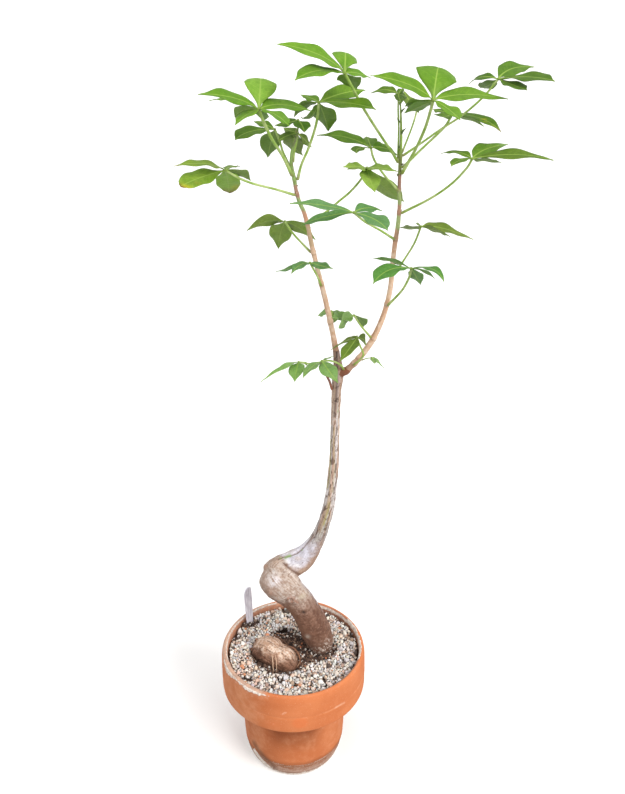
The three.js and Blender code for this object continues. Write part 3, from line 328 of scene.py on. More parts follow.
def data(name, geo):
    v = (np.concatenate(geo.v) + AXIS) / 1000.0
    q = np.concatenate(geo.q) if geo.q else np.zeros((0, 4), np.int64)
    t = np.concatenate(geo.t) if geo.t else np.zeros((0, 3), np.int64)
    me = bpy.data.meshes.new(name)
    me.vertices.add(len(v))
    me.vertices.foreach_set("co", v.astype(np.float32).ravel())
    me.loops.add(4 * len(q) + 3 * len(t))
    me.loops.foreach_set("vertex_index", np.concatenate([q.ravel(), t.ravel()]).astype(np.int32))
    me.polygons.add(len(q) + len(t))
    me.polygons.foreach_set("loop_start", np.concatenate([np.arange(len(q)) * 4, 4 * len(q) + np.arange(len(t)) * 3]).astype(np.int32))
    me.update(calc_edges=True)
    me.validate()
    for k, runs in geo.a.items():
        dim = runs[0][1].shape[1] if runs[0][1].ndim > 1 else 1
        x = np.zeros((geo.n, dim))
        for at, r in runs:
            x[at:at + len(r)] = r.reshape(len(r), -1)
        put(me, k, x)
    return me


def put(me, name, x):
    x = np.asarray(x, float).reshape(len(me.vertices), -1)
    if x.shape[1] == 1:
        me.attributes.new(name, "FLOAT", "POINT").data.foreach_set("value", x.astype(np.float32).ravel())
    else:
        me.attributes.new(name, "FLOAT_VECTOR", "POINT").data.foreach_set("vector", x.astype(np.float32).ravel())


def show(name, me, mat, node, smooth=True):
    me.polygons.foreach_set("use_smooth", np.full(len(me.polygons), smooth))
    me.materials.append(mat)
    ob = bpy.data.objects.new(name, me)
    scene.collection.objects.link(ob)
    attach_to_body(ob, "root")
    if node:
        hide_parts(node)
    return ob


def spline(P, gap):
    """points with radii, run through by a smooth line sampled about every gap"""
    P = np.asarray(P, float)
    d = np.maximum(np.linalg.norm(np.diff(P[:, :3], axis=0), axis=1), 1e-6)
    u = np.concatenate([[0], np.cumsum(d)])
    m = np.zeros_like(P)
    m[1:-1] = (P[2:] - P[:-2]) / (u[2:] - u[:-2])[:, None]
    m[0], m[-1] = (P[1] - P[0]) / d[0], (P[-1] - P[-2]) / d[-1]
    n = max(2, int(math.ceil(u[-1] / gap)))
    x = np.linspace(0, u[-1], n + 1)
    i = np.clip(np.searchsorted(u, x, side="right") - 1, 0, len(d) - 1)
    h = d[i][:, None]
    s = ((x - u[i]) / d[i])[:, None]
    out = (2 * s ** 3 - 3 * s ** 2 + 1) * P[i] + (s ** 3 - 2 * s ** 2 + s) * h * m[i] + (3 * s ** 2 - 2 * s ** 3) * P[i + 1] + (s ** 3 - s ** 2) * h * m[i + 1]
    return out, x


def frames(c):
    t = unit(np.gradient(c, axis=0))
    s = np.zeros_like(t)
    k = np.array([1.0, 0, 0]) if abs(t[0, 0]) < 0.8 else np.array([0, 1.0, 0])
    for i in range(len(t)):
        k = k - t[i] * k.dot(t[i])
        k = k / np.linalg.norm(k)
        s[i] = k
    return t, s, np.cross(t, s)


def tube(P, gap, seg, bump=None, caps=3):
    """closed tube with rounded ends; gives vertices, quads, triangles, and per vertex the run along it, the angle and the radius"""
    D, run = spline(P, gap)
    c, r = D[:, :3], np.maximum(D[:, 3], 0.12)
    t, s, u = frames(c)
    a = 2 * np.pi * np.arange(seg) / seg
    rings = []
    for j in range(caps, 0, -1):
        f = 0.5 * np.pi * j / (caps + 1)
        rings.append((c[0] - t[0] * r[0] * math.sin(f), r[0] * math.cos(f), s[0], u[0], run[0]))
    for i in range(len(c)):
        rings.append((c[i], r[i], s[i], u[i], run[i]))
    for j in range(1, caps + 1):
        f = 0.5 * np.pi * j / (caps + 1)
        rings.append((c[-1] + t[-1] * r[-1] * math.sin(f), r[-1] * math.cos(f), s[-1], u[-1], run[-1]))
    C = np.array([x[0] for x in rings]); R = np.array([x[1] for x in rings]); S = np.array([x[2] for x in rings]); U = np.array([x[3] for x in rings])
    X = np.array([x[4] for x in rings])
    m = len(rings)
    RR = np.repeat(R[:, None], seg, 1)
    if bump is not None:
        RR = RR + bump(np.repeat(X[:, None], seg, 1), np.repeat(a[None], m, 0), RR)
    d = np.cos(a)[None, :, None] * S[:, None] + np.sin(a)[None, :, None] * U[:, None]
    v = C[:, None] + d * RR[..., None]
    v = np.concatenate([v.reshape(-1, 3), [c[0] - t[0] * r[0], c[-1] + t[-1] * r[-1]]])
    i, k = np.meshgrid(np.arange(m - 1), np.arange(seg), indexing="ij")
    k2 = (k + 1) % seg
    q = np.stack([i * seg + k, i * seg + k2, (i + 1) * seg + k2, (i + 1) * seg + k], -1).reshape(-1, 4)
    k = np.arange(seg); k2 = (k + 1) % seg
    tri = np.concatenate([np.stack([np.full(seg, m * seg), k2, k], 1), np.stack([np.full(seg, m * seg + 1), (m - 1) * seg + k, (m - 1) * seg + k2], 1)])
    X = np.concatenate([np.repeat(X, seg), [X[0], X[-1]]])
    A = np.concatenate([np.tile(a, m), [0, 0]])
    R = np.concatenate([np.repeat(R, seg), [0, 0]])
    return v, q, tri, X, A, R


def lathe(profile, seg, bump=None):
    """closed ring of revolution from a closed profile of [r, z] that runs anticlockwise when r is to the right"""
    P = np.asarray(profile, float)
    n = len(P)
    a = 2 * np.pi * np.arange(seg) / seg
    r, z = np.repeat(P[:, 0][:, None], seg, 1), np.repeat(P[:, 1][:, None], seg, 1)
    v = np.stack([r * np.cos(a), r * np.sin(a), z], -1).reshape(-1, 3)
    j, i = np.meshgrid(np.arange(n), np.arange(seg), indexing="ij")
    i2, j2 = (i + 1) % seg, (j + 1) % n
    q = np.stack([j * seg + i, j * seg + i2, j2 * seg + i2, j2 * seg + i], -1).reshape(-1, 4)
    return v, q


def resample(P, gap, closed=True):
    """a polyline's points, filled in to at most gap apart, its corners kept"""
    P = [np.asarray(p, float) for p in P]
    out = []
    m = len(P) if closed else len(P) - 1
    for i in range(m):
        p, q = P[i], P[(i + 1) % len(P)]
        k = max(1, int(math.ceil(np.linalg.norm(q - p) / gap)))
        out += [p + (q - p) * j / k for j in range(k)]
    if not closed:
        out.append(P[-1])
    return np.array(out)


def soften(P, times):
    P = P.copy()
    for _ in range(times):
        P = 0.5 * P + 0.25 * (np.roll(P, 1, 0) + np.roll(P, -1, 0))
    return P


# ------------------------------------------------------------------ node helpers
class Tree:
    def __init__(self, name):
        self.m = bpy.data.materials.new(name)
        self.m.use_nodes = True
        self.t = self.m.node_tree
        self.t.nodes.clear()
        self.out = self.t.nodes.new("ShaderNodeOutputMaterial")
        self.p = self.t.nodes.new("ShaderNodeBsdfPrincipled")
        self.t.links.new(self.p.outputs[0], self.out.inputs[0])

    def link(self, a, b):
        self.t.links.new(a, b)

    def put(self, sock, x):
        if isinstance(x, bpy.types.NodeSocket):
            self.t.links.new(x, sock)
        elif x is not None:
            if hasattr(sock, "default_value") and not isinstance(sock.default_value, (float, int)) and isinstance(x, (tuple, list, np.ndarray)):
                x = list(x)
                if len(sock.default_value) == 4 and len(x) == 3:
                    x = x + [1.0]
            sock.default_value = x

    def attr(self, name):
        n = self.t.nodes.new("ShaderNodeAttribute")
        n.attribute_name = name
        return n

    def coords(self, scale=1000.0):
        n = self.t.nodes.new("ShaderNodeTexCoord")
        k = self.t.nodes.new("ShaderNodeVectorMath")
        k.operation = "SCALE"
        self.link(n.outputs["Object"], k.inputs[0])
        k.inputs["Scale"].default_value = scale
        return k.outputs[0]

    def vscale(self, v, s):
        k = self.t.nodes.new("ShaderNodeVectorMath")
        k.operation = "MULTIPLY"
        self.link(v, k.inputs[0])
        k.inputs[1].default_value = s if isinstance(s, (tuple, list)) else (s, s, s)
        return k.outputs[0]

    def noise(self, v, scale, detail=3.0, rough=0.55, dist=0.0):
        n = self.t.nodes.new("ShaderNodeTexNoise")
        self.link(v, n.inputs["Vector"])
        n.inputs["Scale"].default_value = scale
        n.inputs["Detail"].default_value = detail
        n.inputs["Roughness"].default_value = rough
        n.inputs["Distortion"].default_value = dist
        return n.outputs["Fac"]

    def voronoi(self, v, scale, feature="F1", out="Distance"):
        n = self.t.nodes.new("ShaderNodeTexVoronoi")
        n.feature = feature
        self.link(v, n.inputs["Vector"])
        n.inputs["Scale"].default_value = scale
        return n.outputs[out]

    def math(self, op, a, b=0.0, c=0.0, clamp=False):
        n = self.t.nodes.new("ShaderNodeMath")
        n.operation = op
        n.use_clamp = clamp
        for i, x in enumerate((a, b, c)):
            if i < len(n.inputs):
                self.put(n.inputs[i], x)
        return n.outputs[0]

    def ramp(self, f, a, b, lo=0.0, hi=1.0):
        n = self.t.nodes.new("ShaderNodeMapRange")
        n.interpolation_type = "SMOOTHSTEP"
        self.put(n.inputs["Value"], f)
        n.inputs["From Min"].default_value, n.inputs["From Max"].default_value = a, b
        n.inputs["To Min"].default_value, n.inputs["To Max"].default_value = lo, hi
        return n.outputs[0]

    def mix(self, f, a, b, mode="MIX"):
        n = self.t.nodes.new("ShaderNodeMix")
        n.data_type = "RGBA"
        n.blend_type = mode
        n.clamp_factor = True
        self.put(n.inputs[0], f)
        self.put(n.inputs[6], a)
        self.put(n.inputs[7], b)
        return n.outputs[2]

    def bump(self, h, strength, dist, under=None):
        n = self.t.nodes.new("ShaderNodeBump")
        self.put(n.inputs["Height"], h)
        n.inputs["Strength"].default_value = strength
        n.inputs["Distance"].default_value = dist
        if under is not None:
            self.link(under, n.inputs["Normal"])
        return n.outputs[0]


def C(r, g, b):
    return tuple(float(x) for x in lin(r, g, b))


# ------------------------------------------------------------------ where a point falls in the photograph's frame
CAM = np.array([20.2, -671.8, 750.8])
FWD = np.array([0, math.cos(math.radians(25)), -math.sin(math.radians(25))])
UPW = np.array([0, math.sin(math.radians(25)), math.cos(math.radians(25))])


def frame_px(v):
    d = v - CAM
    f = d @ FWD
    return 312.5 + 800 * d[:, 0] / f, 397.0 - 800 * (d @ UPW) / f


def at_level(u, v, z):
    d = FWD + (u - 312.5) / 800 * np.array([1.0, 0, 0]) - (v - 397.0) / 800 * UPW
    return CAM + d * (z - CAM[2]) / d[2]


def spot(v, n, px, py, rx, ry=None, turn=0.0):
    """1 round a place on the side of the surface that faces the front, falling to 0"""
    u, w = frame_px(v)
    c, s = math.cos(math.radians(turn)), math.sin(math.radians(turn))
    du, dw = u - px, w - py
    a, b = (du * c + dw * s) / rx, (-du * s + dw * c) / (ry or rx)
    return np.exp(-(a * a + b * b)) * step(-0.05, 0.3, (unit(CAM - v) * n).sum(1))


# ------------------------------------------------------------------ joining tubes into one skin
def fuse(geo, voxel):
    me = data("fuse", geo)
    ob = bpy.data.objects.new("fuse", me)
    scene.collection.objects.link(ob)
    m = ob.modifiers.new("fuse", "REMESH")
    m.mode = "VOXEL"
    m.voxel_size = voxel / 1000.0
    m.adaptivity = 0.0
    dg = bpy.context.evaluated_depsgraph_get()
    new = bpy.data.meshes.new_from_object(ob.evaluated_get(dg))
    bpy.data.objects.remove(ob)
    v = np.zeros(len(new.vertices) * 3)
    new.vertices.foreach_get("co", v)
    v = v.reshape(-1, 3) * 1000.0 - AXIS
    q = np.zeros(len(new.loops), np.int64)
    new.loops.foreach_get("vertex_index", q)
    e = np.zeros(len(new.edges) * 2, np.int64)
    new.edges.foreach_get("vertices", e)
    tot = np.zeros(len(new.polygons), np.int64)
    new.polygons.foreach_get("loop_total", tot)
    q = q.reshape(-1, 4) if (tot == 4).all() else None
    bpy.data.meshes.remove(new)
    return v, q, e.reshape(-1, 2)


def relax(v, e, times, f=0.5):
    n = len(v)
    deg = np.bincount(e.ravel(), minlength=n).astype(float)
    for _ in range(times):
        acc = np.stack([np.bincount(e[:, 0], v[e[:, 1], c], n) + np.bincount(e[:, 1], v[e[:, 0], c], n) for c in range(3)], 1)
        v = v + f * (acc / deg[:, None] - v)
    return v


def normals(v, q):
    a = np.cross(v[q[:, 2]] - v[q[:, 0]], v[q[:, 3]] - v[q[:, 1]])
    n = np.stack([sum(np.bincount(q[:, k], a[:, c], len(v)) for k in range(4)) for c in range(3)], 1)
    return unit(n)


def nearest(v, lines, gap=1.5):
    """for each point: which line it belongs to, the run along it, the angle about it, the radius there"""
    C_, R_, T_, S_, U_, X_, I_ = [], [], [], [], [], [], []
    for k, P in enumerate(lines):
        D, run = spline(P, gap)
        t, s, u = frames(D[:, :3])
        C_.append(D[:, :3]); R_.append(D[:, 3]); T_.append(t); S_.append(s); U_.append(u); X_.append(run); I_.append(np.full(len(run), k))
    c, r, t, s, u, x, ident = [np.concatenate(a) for a in (C_, R_, T_, S_, U_, X_, I_)]
    who, run, ang, rad, out = np.zeros(len(v), int), np.zeros(len(v)), np.zeros(len(v)), np.zeros(len(v)), np.zeros(len(v))
    each = np.zeros((len(lines), len(v)))
    for k in range(0, len(v), 6000):
        w = v[k:k + 6000]
        d = np.sqrt(((w[:, None] - c[None]) ** 2).sum(2)) - r[None]
        for m in range(len(lines)):
            each[m, k:k + 6000] = d[:, ident == m].min(1)
        j = d.argmin(1)
        dv = w - c[j]
        who[k:k + 6000] = ident[j]
        run[k:k + 6000] = x[j] + (dv * t[j]).sum(1)
        ang[k:k + 6000] = np.arctan2((dv * u[j]).sum(1), (dv * s[j]).sum(1))
        rad[k:k + 6000] = r[j]
        out[k:k + 6000] = d[np.arange(len(w)), j]
    return who, run, ang, rad, each


def streak(v, n, pts, wide):
    """1 along a line drawn on the front of the surface, falling to 0"""
    u, w = frame_px(v)
    best = np.full(len(v), 1e9)
    for (a, b), (c, d) in zip(pts[:-1], pts[1:]):
        t = np.clip(((u - a) * (c - a) + (w - b) * (d - b)) / ((c - a) ** 2 + (d - b) ** 2), 0, 1)
        best = np.minimum(best, (u - a - t * (c - a)) ** 2 + (w - b - t * (d - b)) ** 2)
    return np.exp(-best / wide ** 2) * step(-0.05, 0.3, (unit(CAM - v) * n).sum(1))


# ------------------------------------------------------------------ materials
def bark_material():
    n = Tree("bark")
    col = n.attr("col").outputs["Color"]
    bk = n.attr("bk").outputs["Vector"]
    relief = n.attr("relief").outputs["Fac"]
    long_ = n.noise(n.vscale(bk, (0.18, 1.1, 1.1)), 1.0, 4.0, 0.6)
    fine = n.noise(n.vscale(bk, (0.8, 3.2, 3.2)), 1.0, 3.0, 0.6)
    grit = n.noise(n.coords(), 1.7, 2.0, 0.6)
    tone = n.math("MULTIPLY_ADD", long_, 0.40, 0.80)
    g = n.t.nodes.new("ShaderNodeCombineColor")
    for i in range(3):
        n.link(tone, g.inputs[i])
    c = n.mix(1.0, col, g.outputs[0], "MULTIPLY")
    c = n.mix(n.ramp(fine, 0.56, 0.72, 0.0, 0.30), c, n.mix(1.0, c, (1.55, 1.5, 1.45), "MULTIPLY"))
    c = n.mix(n.ramp(fine, 0.44, 0.32, 0.0, 0.32), c, n.mix(1.0, c, (0.52, 0.47, 0.43), "MULTIPLY"))
    crumb = n.noise(n.coords(), 0.85, 3.0, 0.7)
    c = n.mix(n.ramp(crumb, 0.53, 0.66, 0.0, 0.42), c, n.mix(1.0, c, (1.50, 1.44, 1.42), "MULTIPLY"))
    c = n.mix(n.ramp(crumb, 0.46, 0.34, 0.0, 0.45), c, n.mix(1.0, c, (0.56, 0.50, 0.46), "MULTIPLY"))
    # darker where the relief is carved deep: painted shade in the grooves and pits, with darker bark in the fissures
    c = n.mix(n.ramp(relief, -0.12, -0.62, 0.0, 0.72), c, n.mix(1.0, c, (0.34, 0.27, 0.22), "MULTIPLY"))
    n.link(c, n.p.inputs["Base Color"])
    n.link(n.ramp(grit, 0.3, 0.7, 0.62, 0.88), n.p.inputs["Roughness"])
    n.p.inputs["Specular IOR Level"].default_value = 0.35
    h = n.math("ADD", n.math("MULTIPLY", long_, 0.5), n.math("ADD", n.math("MULTIPLY", fine, 0.35), n.math("MULTIPLY", grit, 0.15)))
    n.link(n.bump(h, 0.55, 0.0009), n.p.inputs["Normal"])
    return n.m


def shoot_material():
    n = Tree("shoot_bark")
    col = n.attr("col").outputs["Color"]
    bk = n.attr("bk").outputs["Vector"]
    long_ = n.noise(n.vscale(bk, (0.10, 1.6, 1.6)), 1.0, 3.0, 0.6)
    fine = n.noise(n.vscale(bk, (1.1, 3.0, 3.0)), 1.0, 3.0, 0.6)
    spots = n.voronoi(n.vscale(bk, (0.42, 1.0, 1.0)), 0.62)
    c = n.mix(n.ramp(long_, 0.35, 0.65, 0.0, 0.5), col, n.mix(1.0, col, (0.72, 0.66, 0.60), "MULTIPLY"))
    c = n.mix(n.ramp(fine, 0.55, 0.72, 0.0, 0.4), c, n.mix(1.0, c, (1.35, 1.3, 1.2), "MULTIPLY"))
    c = n.mix(n.ramp(spots, 0.20, 0.10, 0.0, 0.55), c, C(236, 214, 180))
    n.link(c, n.p.inputs["Base Color"])
    n.link(n.ramp(fine, 0.3, 0.7, 0.42, 0.62), n.p.inputs["Roughness"])
    h = n.math("ADD", n.math("MULTIPLY", long_, 0.6), n.math("MULTIPLY", n.ramp(spots, 0.22, 0.08), 0.5))
    n.link(n.bump(h, 0.35, 0.0004), n.p.inputs["Normal"])
    return n.m


def leaf_material():
    n = Tree("leaf_green")
    col = n.attr("col").outputs["Color"]
    lf = n.attr("lf").outputs["Vector"]        # along 0..1, across -1..1, 1 on the upper side
    lm = n.attr("lm").outputs["Vector"]        # along mm, across mm, number of the leaflet
    s1 = n.t.nodes.new("ShaderNodeSeparateXYZ"); n.link(lf, s1.inputs[0])
    s2 = n.t.nodes.new("ShaderNodeSeparateXYZ"); n.link(lm, s2.inputs[0])
    ax = n.math("ABSOLUTE", s2.outputs["Y"])
    at = n.math("ABSOLUTE", s1.outputs["Y"])
    rib = n.ramp(n.math("SUBTRACT", ax, n.math("MULTIPLY_ADD", s1.outputs["X"], -0.34, 0.46)), -0.05, 0.34, 1.0, 0.0)
    bend = n.math("MULTIPLY", n.math("MULTIPLY", at, at), 0.55)
    q = n.math("SUBTRACT", n.math("SUBTRACT", n.math("MULTIPLY", s1.outputs["X"], 12.0), n.math("MULTIPLY", at, 1.35)), bend)
    fr = n.math("FRACT", n.math("ADD", q, n.math("MULTIPLY", n.noise(lm, 0.35, 1.0), 0.5)))
    d = n.math("MINIMUM", fr, n.math("SUBTRACT", 1.0, fr))
    vein = n.math("MULTIPLY", n.ramp(d, 0.015, 0.11, 1.0, 0.0), n.ramp(at, 1.0, 0.75, 0.0, 1.0))
    netc = n.voronoi(n.vscale(lm, (1.0, 1.0, 9.0)), 0.75, "DISTANCE_TO_EDGE")
    net = n.ramp(netc, 0.0, 0.12, 1.0, 0.0)
    up = s1.outputs["Z"]
    mott = n.noise(n.vscale(lm, (0.25, 0.25, 5.0)), 1.0, 3.0, 0.6)
    fine = n.noise(n.vscale(lm, (1.6, 1.6, 5.0)), 1.0, 2.0, 0.6)
    c = n.mix(n.ramp(mott, 0.32, 0.68, 0.0, 0.50), col, n.mix(1.0, col, (0.62, 0.72, 0.55), "MULTIPLY"))
    c = n.mix(n.ramp(fine, 0.5, 0.75, 0.0, 0.22), c, n.mix(1.0, c, (1.35, 1.25, 1.3), "MULTIPLY"))
    spk = n.attr("spk").outputs["Fac"]
    dots = n.voronoi(n.vscale(lm, (1.0, 1.0, 9.0)), 1.15)
    c = n.mix(n.math("MULTIPLY", spk, n.ramp(dots, 0.34, 0.16, 0.0, 0.55)), c, n.mix(1.0, c, (1.9, 1.5, 1.75), "MULTIPLY"))
    c = n.mix(n.math("MULTIPLY", spk, n.ramp(dots, 0.62, 0.86, 0.0, 0.5)), c, n.mix(1.0, c, (0.55, 0.72, 0.66), "MULTIPLY"))
    pale = n.mix(1.0, c, (1.45, 1.30, 1.35), "MULTIPLY")
    c = n.mix(n.math("MULTIPLY", net, 0.24), c, pale)
    c = n.mix(n.math("MULTIPLY", n.ramp(fr, 0.10, 0.34, 1.0, 0.0), n.ramp(at, 1.0, 0.70, 0.0, 0.20)), c, n.mix(1.0, c, (0.66, 0.76, 0.60), "MULTIPLY"))
    c = n.mix(n.math("MULTIPLY", vein, 0.52), c, pale)
    c = n.mix(n.math("MULTIPLY", rib, 0.58), c, C(178, 208, 98))
    c = n.mix(n.math("MULTIPLY", n.math("SUBTRACT", 1.0, up), 0.30), c, C(140, 166, 96))
    n.link(c, n.p.inputs["Base Color"])
    n.link(n.math("MULTIPLY_ADD", fine, 0.16, 0.40), n.p.inputs["Roughness"])
    n.p.inputs["Specular IOR Level"].default_value = 0.20
    h = n.math("SUBTRACT", n.math("MULTIPLY", fine, 0.25), n.math("ADD", n.math("MULTIPLY", vein, 0.6), n.math("MULTIPLY", net, 0.25)))
    b = n.bump(h, 0.4, 0.00035)
    n.link(b, n.p.inputs["Normal"])
    tr = n.t.nodes.new("ShaderNodeBsdfTranslucent")
    n.link(n.mix(1.0, c, (1.15, 1.2, 0.55), "MULTIPLY"), tr.inputs["Color"])
    n.link(b, tr.inputs["Normal"])
    mx = n.t.nodes.new("ShaderNodeMixShader")
    mx.inputs[0].default_value = 0.22
    n.link(n.p.outputs[0], mx.inputs[1]); n.link(tr.outputs[0], mx.inputs[2]); n.link(mx.outputs[0], n.out.inputs[0])
    return n.m


def pot_material():
    n = Tree("terracotta")
    co = n.coords()
    crust, grime, stain, dust, damp, line, cold, glow, pale, foot = [n.attr(k).outputs["Fac"] for k in ("crust", "grime", "stain", "dust", "damp", "line", "cold", "glow", "pale", "foot")]
    ring = n.attr("ring").outputs["Vector"]
    big = n.noise(co, 0.018, 3.0, 0.55)
    mid = n.noise(co, 0.09, 4.0, 0.6)
    fine = n.noise(co, 0.9, 3.0, 0.65)
    turn = n.noise(ring, 1.0, 3.0, 0.6)
    speck = n.voronoi(co, 0.30)
    c = n.mix(n.ramp(big, 0.35, 0.65), C(204, 123, 77), C(194, 112, 67))
    c = n.mix(n.ramp(mid, 0.46, 0.74, 0.0, 0.22), c, C(216, 140, 96))
    c = n.mix(n.ramp(turn, 0.45, 0.75, 0.0, 0.22), c, C(190, 98, 54))
    c = n.mix(n.ramp(fine, 0.54, 0.74, 0.0, 0.28), c, C(232, 156, 112))
    c = n.mix(n.ramp(fine, 0.42, 0.26, 0.0, 0.28), c, C(184, 92, 50))
    c = n.mix(n.ramp(speck, 0.10, 0.05, 0.0, 0.5), c, C(226, 190, 166))
    # painted shade: darker under the collar, on the left side and a little all over, and a damp band above the foot
    c = n.mix(damp, c, n.mix(1.0, c, (0.41, 0.35, 0.31), "MULTIPLY"))
    c = n.mix(n.math("MULTIPLY", line, n.ramp(mid, 0.36, 0.62, 0.0, 0.5)), c, C(232, 168, 126))
    c = n.mix(n.math("MULTIPLY", glow, 0.50), c, C(212, 112, 62))
    c = n.mix(n.math("MULTIPLY", pale, 0.55), c, C(240, 200, 172))
    lay = n.math("ADD", foot, n.math("MULTIPLY_ADD", n.noise(co, 0.16, 4.0, 0.65), 0.5, -0.25))
    fc = n.mix(n.ramp(lay, 0.22, 0.50), C(138, 93, 67), C(166, 136, 120))
    fc = n.mix(n.ramp(turn, 0.52, 0.66, 0.0, 0.60), fc, C(206, 186, 172))
    fc = n.mix(n.ramp(turn, 0.46, 0.34, 0.0, 0.60), fc, C(118, 84, 66))
    fc = n.mix(n.ramp(fine, 0.55, 0.70, 0.0, 0.55), fc, C(224, 208, 198))
    fc = n.mix(n.ramp(fine, 0.44, 0.30, 0.0, 0.55), fc, C(126, 84, 60))
    c = n.mix(n.ramp(n.math("ADD", foot, n.math("MULTIPLY_ADD", fine, 0.10, -0.05)), 0.005, 0.07, 0.0, 0.90), c, fc)
    # dark stains, and painted shade right under the collar
    dk = n.math("MULTIPLY", stain, n.ramp(mid, 0.25, 0.55, 0.35, 1.0))
    c = n.mix(n.math("MULTIPLY", dk, 0.85), c, C(104, 70, 50))
    hz = n.math("ADD", n.math("MULTIPLY", dust, 0.9), n.math("MULTIPLY_ADD", mid, 0.9, -0.60))
    c = n.mix(n.ramp(hz, 0.05, 0.75, 0.0, 0.5), c, C(222, 164, 126))
    gc = n.mix(n.ramp(n.noise(co, 0.22, 4.0, 0.65), 0.35, 0.65), C(206, 166, 142), C(178, 150, 134))
    gc = n.mix(n.ramp(fine, 0.5, 0.75, 0.0, 0.6), gc, C(226, 208, 194))
    gc = n.mix(n.ramp(turn, 0.5, 0.7, 0.0, 0.35), gc, C(150, 118, 98))
    # darker grime colours: painted shade on the inner wall, and dark grime near the foot
    gc = n.mix(cold, gc, n.mix(n.ramp(fine, 0.35, 0.65), C(98, 82, 74), C(146, 130, 121)))
    c = n.mix(n.ramp(n.math("ADD", grime, n.math("MULTIPLY_ADD", n.noise(co, 0.30, 3.0, 0.6), 0.7, -0.35)), 0.10, 0.85, 0.0, 0.92), c, gc)
    edge = n.math("ADD", crust, n.math("MULTIPLY_ADD", n.noise(co, 0.50, 4.0, 0.65), 1.0, -0.50))
    k = n.ramp(edge, 0.42, 0.62)
    cc = n.mix(n.ramp(n.noise(co, 0.35, 4.0, 0.65), 0.35, 0.65), C(196, 180, 168), C(236, 226, 216))
    cc = n.mix(n.ramp(fine, 0.5, 0.3, 0.0, 0.6), cc, C(150, 134, 124))
    c = n.mix(k, c, cc)
    n.link(c, n.p.inputs["Base Color"])
    n.link(n.ramp(fine, 0.3, 0.7, 0.78, 0.95), n.p.inputs["Roughness"])
    n.p.inputs["Specular IOR Level"].default_value = 0.22
    h = n.math("ADD", n.math("MULTIPLY", fine, 0.35), n.math("ADD", n.math("MULTIPLY", turn, 0.25), n.math("MULTIPLY", k, 0.7)))
    n.link(n.bump(h, 0.45, 0.0006), n.p.inputs["Normal"])
    return n.m


def grain_material(name, wet=False):
    n = Tree(name)
    co = n.coords()
    col = n.attr("col").outputs["Color"]
    a = n.noise(co, 0.9, 3.0, 0.6)
    b = n.noise(co, 3.0, 2.0, 0.6)
    c = n.mix(n.ramp(a, 0.35, 0.68, 0.0, 0.45), col, n.mix(1.0, col, (0.60, 0.55, 0.50), "MULTIPLY"))
    c = n.mix(n.ramp(b, 0.52, 0.72, 0.0, 0.40), c, n.mix(1.0, c, (1.4, 1.38, 1.34), "MULTIPLY"))
    n.link(c, n.p.inputs["Base Color"])
    n.link(n.ramp(a, 0.3, 0.7, 0.60, 0.88), n.p.inputs["Roughness"])
    n.p.inputs["Specular IOR Level"].default_value = 0.4
    n.link(n.bump(n.math("ADD", a, n.math("MULTIPLY", b, 0.5)), 0.5, 0.0005), n.p.inputs["Normal"])
    return n.m


def label_material():
    n = Tree("label_plastic")
    co = n.coords()
    low = n.attr("low").outputs["Fac"]
    a = n.noise(n.vscale(co, (1.0, 1.0, 0.25)), 0.35, 4.0, 0.6)
    b = n.noise(co, 1.6, 3.0, 0.6)
    c = n.mix(n.ramp(a, 0.35, 0.66), C(240, 238, 248), C(206, 202, 216))
    c = n.mix(n.ramp(b, 0.55, 0.72, 0.0, 0.35), c, C(252, 250, 252))
    c = n.mix(n.ramp(n.math("ADD", low, n.math("MULTIPLY_ADD", b, 0.5, -0.25)), 0.35, 0.95, 0.0, 0.7), c, C(112, 92, 80))
    n.link(c, n.p.inputs["Base Color"])
    n.link(n.ramp(b, 0.3, 0.7, 0.42, 0.62), n.p.inputs["Roughness"])
    n.link(n.bump(n.math("ADD", a, n.math("MULTIPLY", b, 0.3)), 0.25, 0.0003), n.p.inputs["Normal"])
    return n.m


def floor_material():
    n = Tree("floor")
    co = n.coords()
    a = n.noise(co, 0.004, 2.0, 0.5)
    n.link(n.mix(n.ramp(a, 0.3, 0.7), (0.90, 0.90, 0.90), (0.93, 0.93, 0.93)), n.p.inputs["Base Color"])
    n.p.inputs["Roughness"].default_value = 0.9
    n.p.inputs["Specular IOR Level"].default_value = 0.1
    n.p.inputs["Emission Color"].default_value = (1.0, 1.0, 1.0, 1.0)
    n.p.inputs["Emission Strength"].default_value = 0.06
    return n.m


def backdrop_material():
    n = Tree("backdrop")
    a = n.noise(n.coords(), 0.004, 2.0, 0.5)
    n.link(n.mix(n.ramp(a, 0.3, 0.7), (0.80, 0.80, 0.80), (0.82, 0.82, 0.82)), n.p.inputs["Base Color"])
    n.p.inputs["Roughness"].default_value = 0.9
    n.p.inputs["Emission Color"].default_value = (1.0, 1.0, 1.0, 1.0)
    n.p.inputs["Emission Strength"].default_value = 0.7
    return n.m

ALB = 0.86          # lifts or lowers every tone below together


def tone(r, g, b, k=1.0):
    return lin(r, g, b) * ALB * k


# ------------------------------------------------------------------ trunk, with its root and the collar of the right shoot
bark = bark_material()
COLLAR_RUN = [list(COLLAR[0]) + [4.4], list(COLLAR[1]) + [3.9], list(COLLAR[2]) + [3.3]]


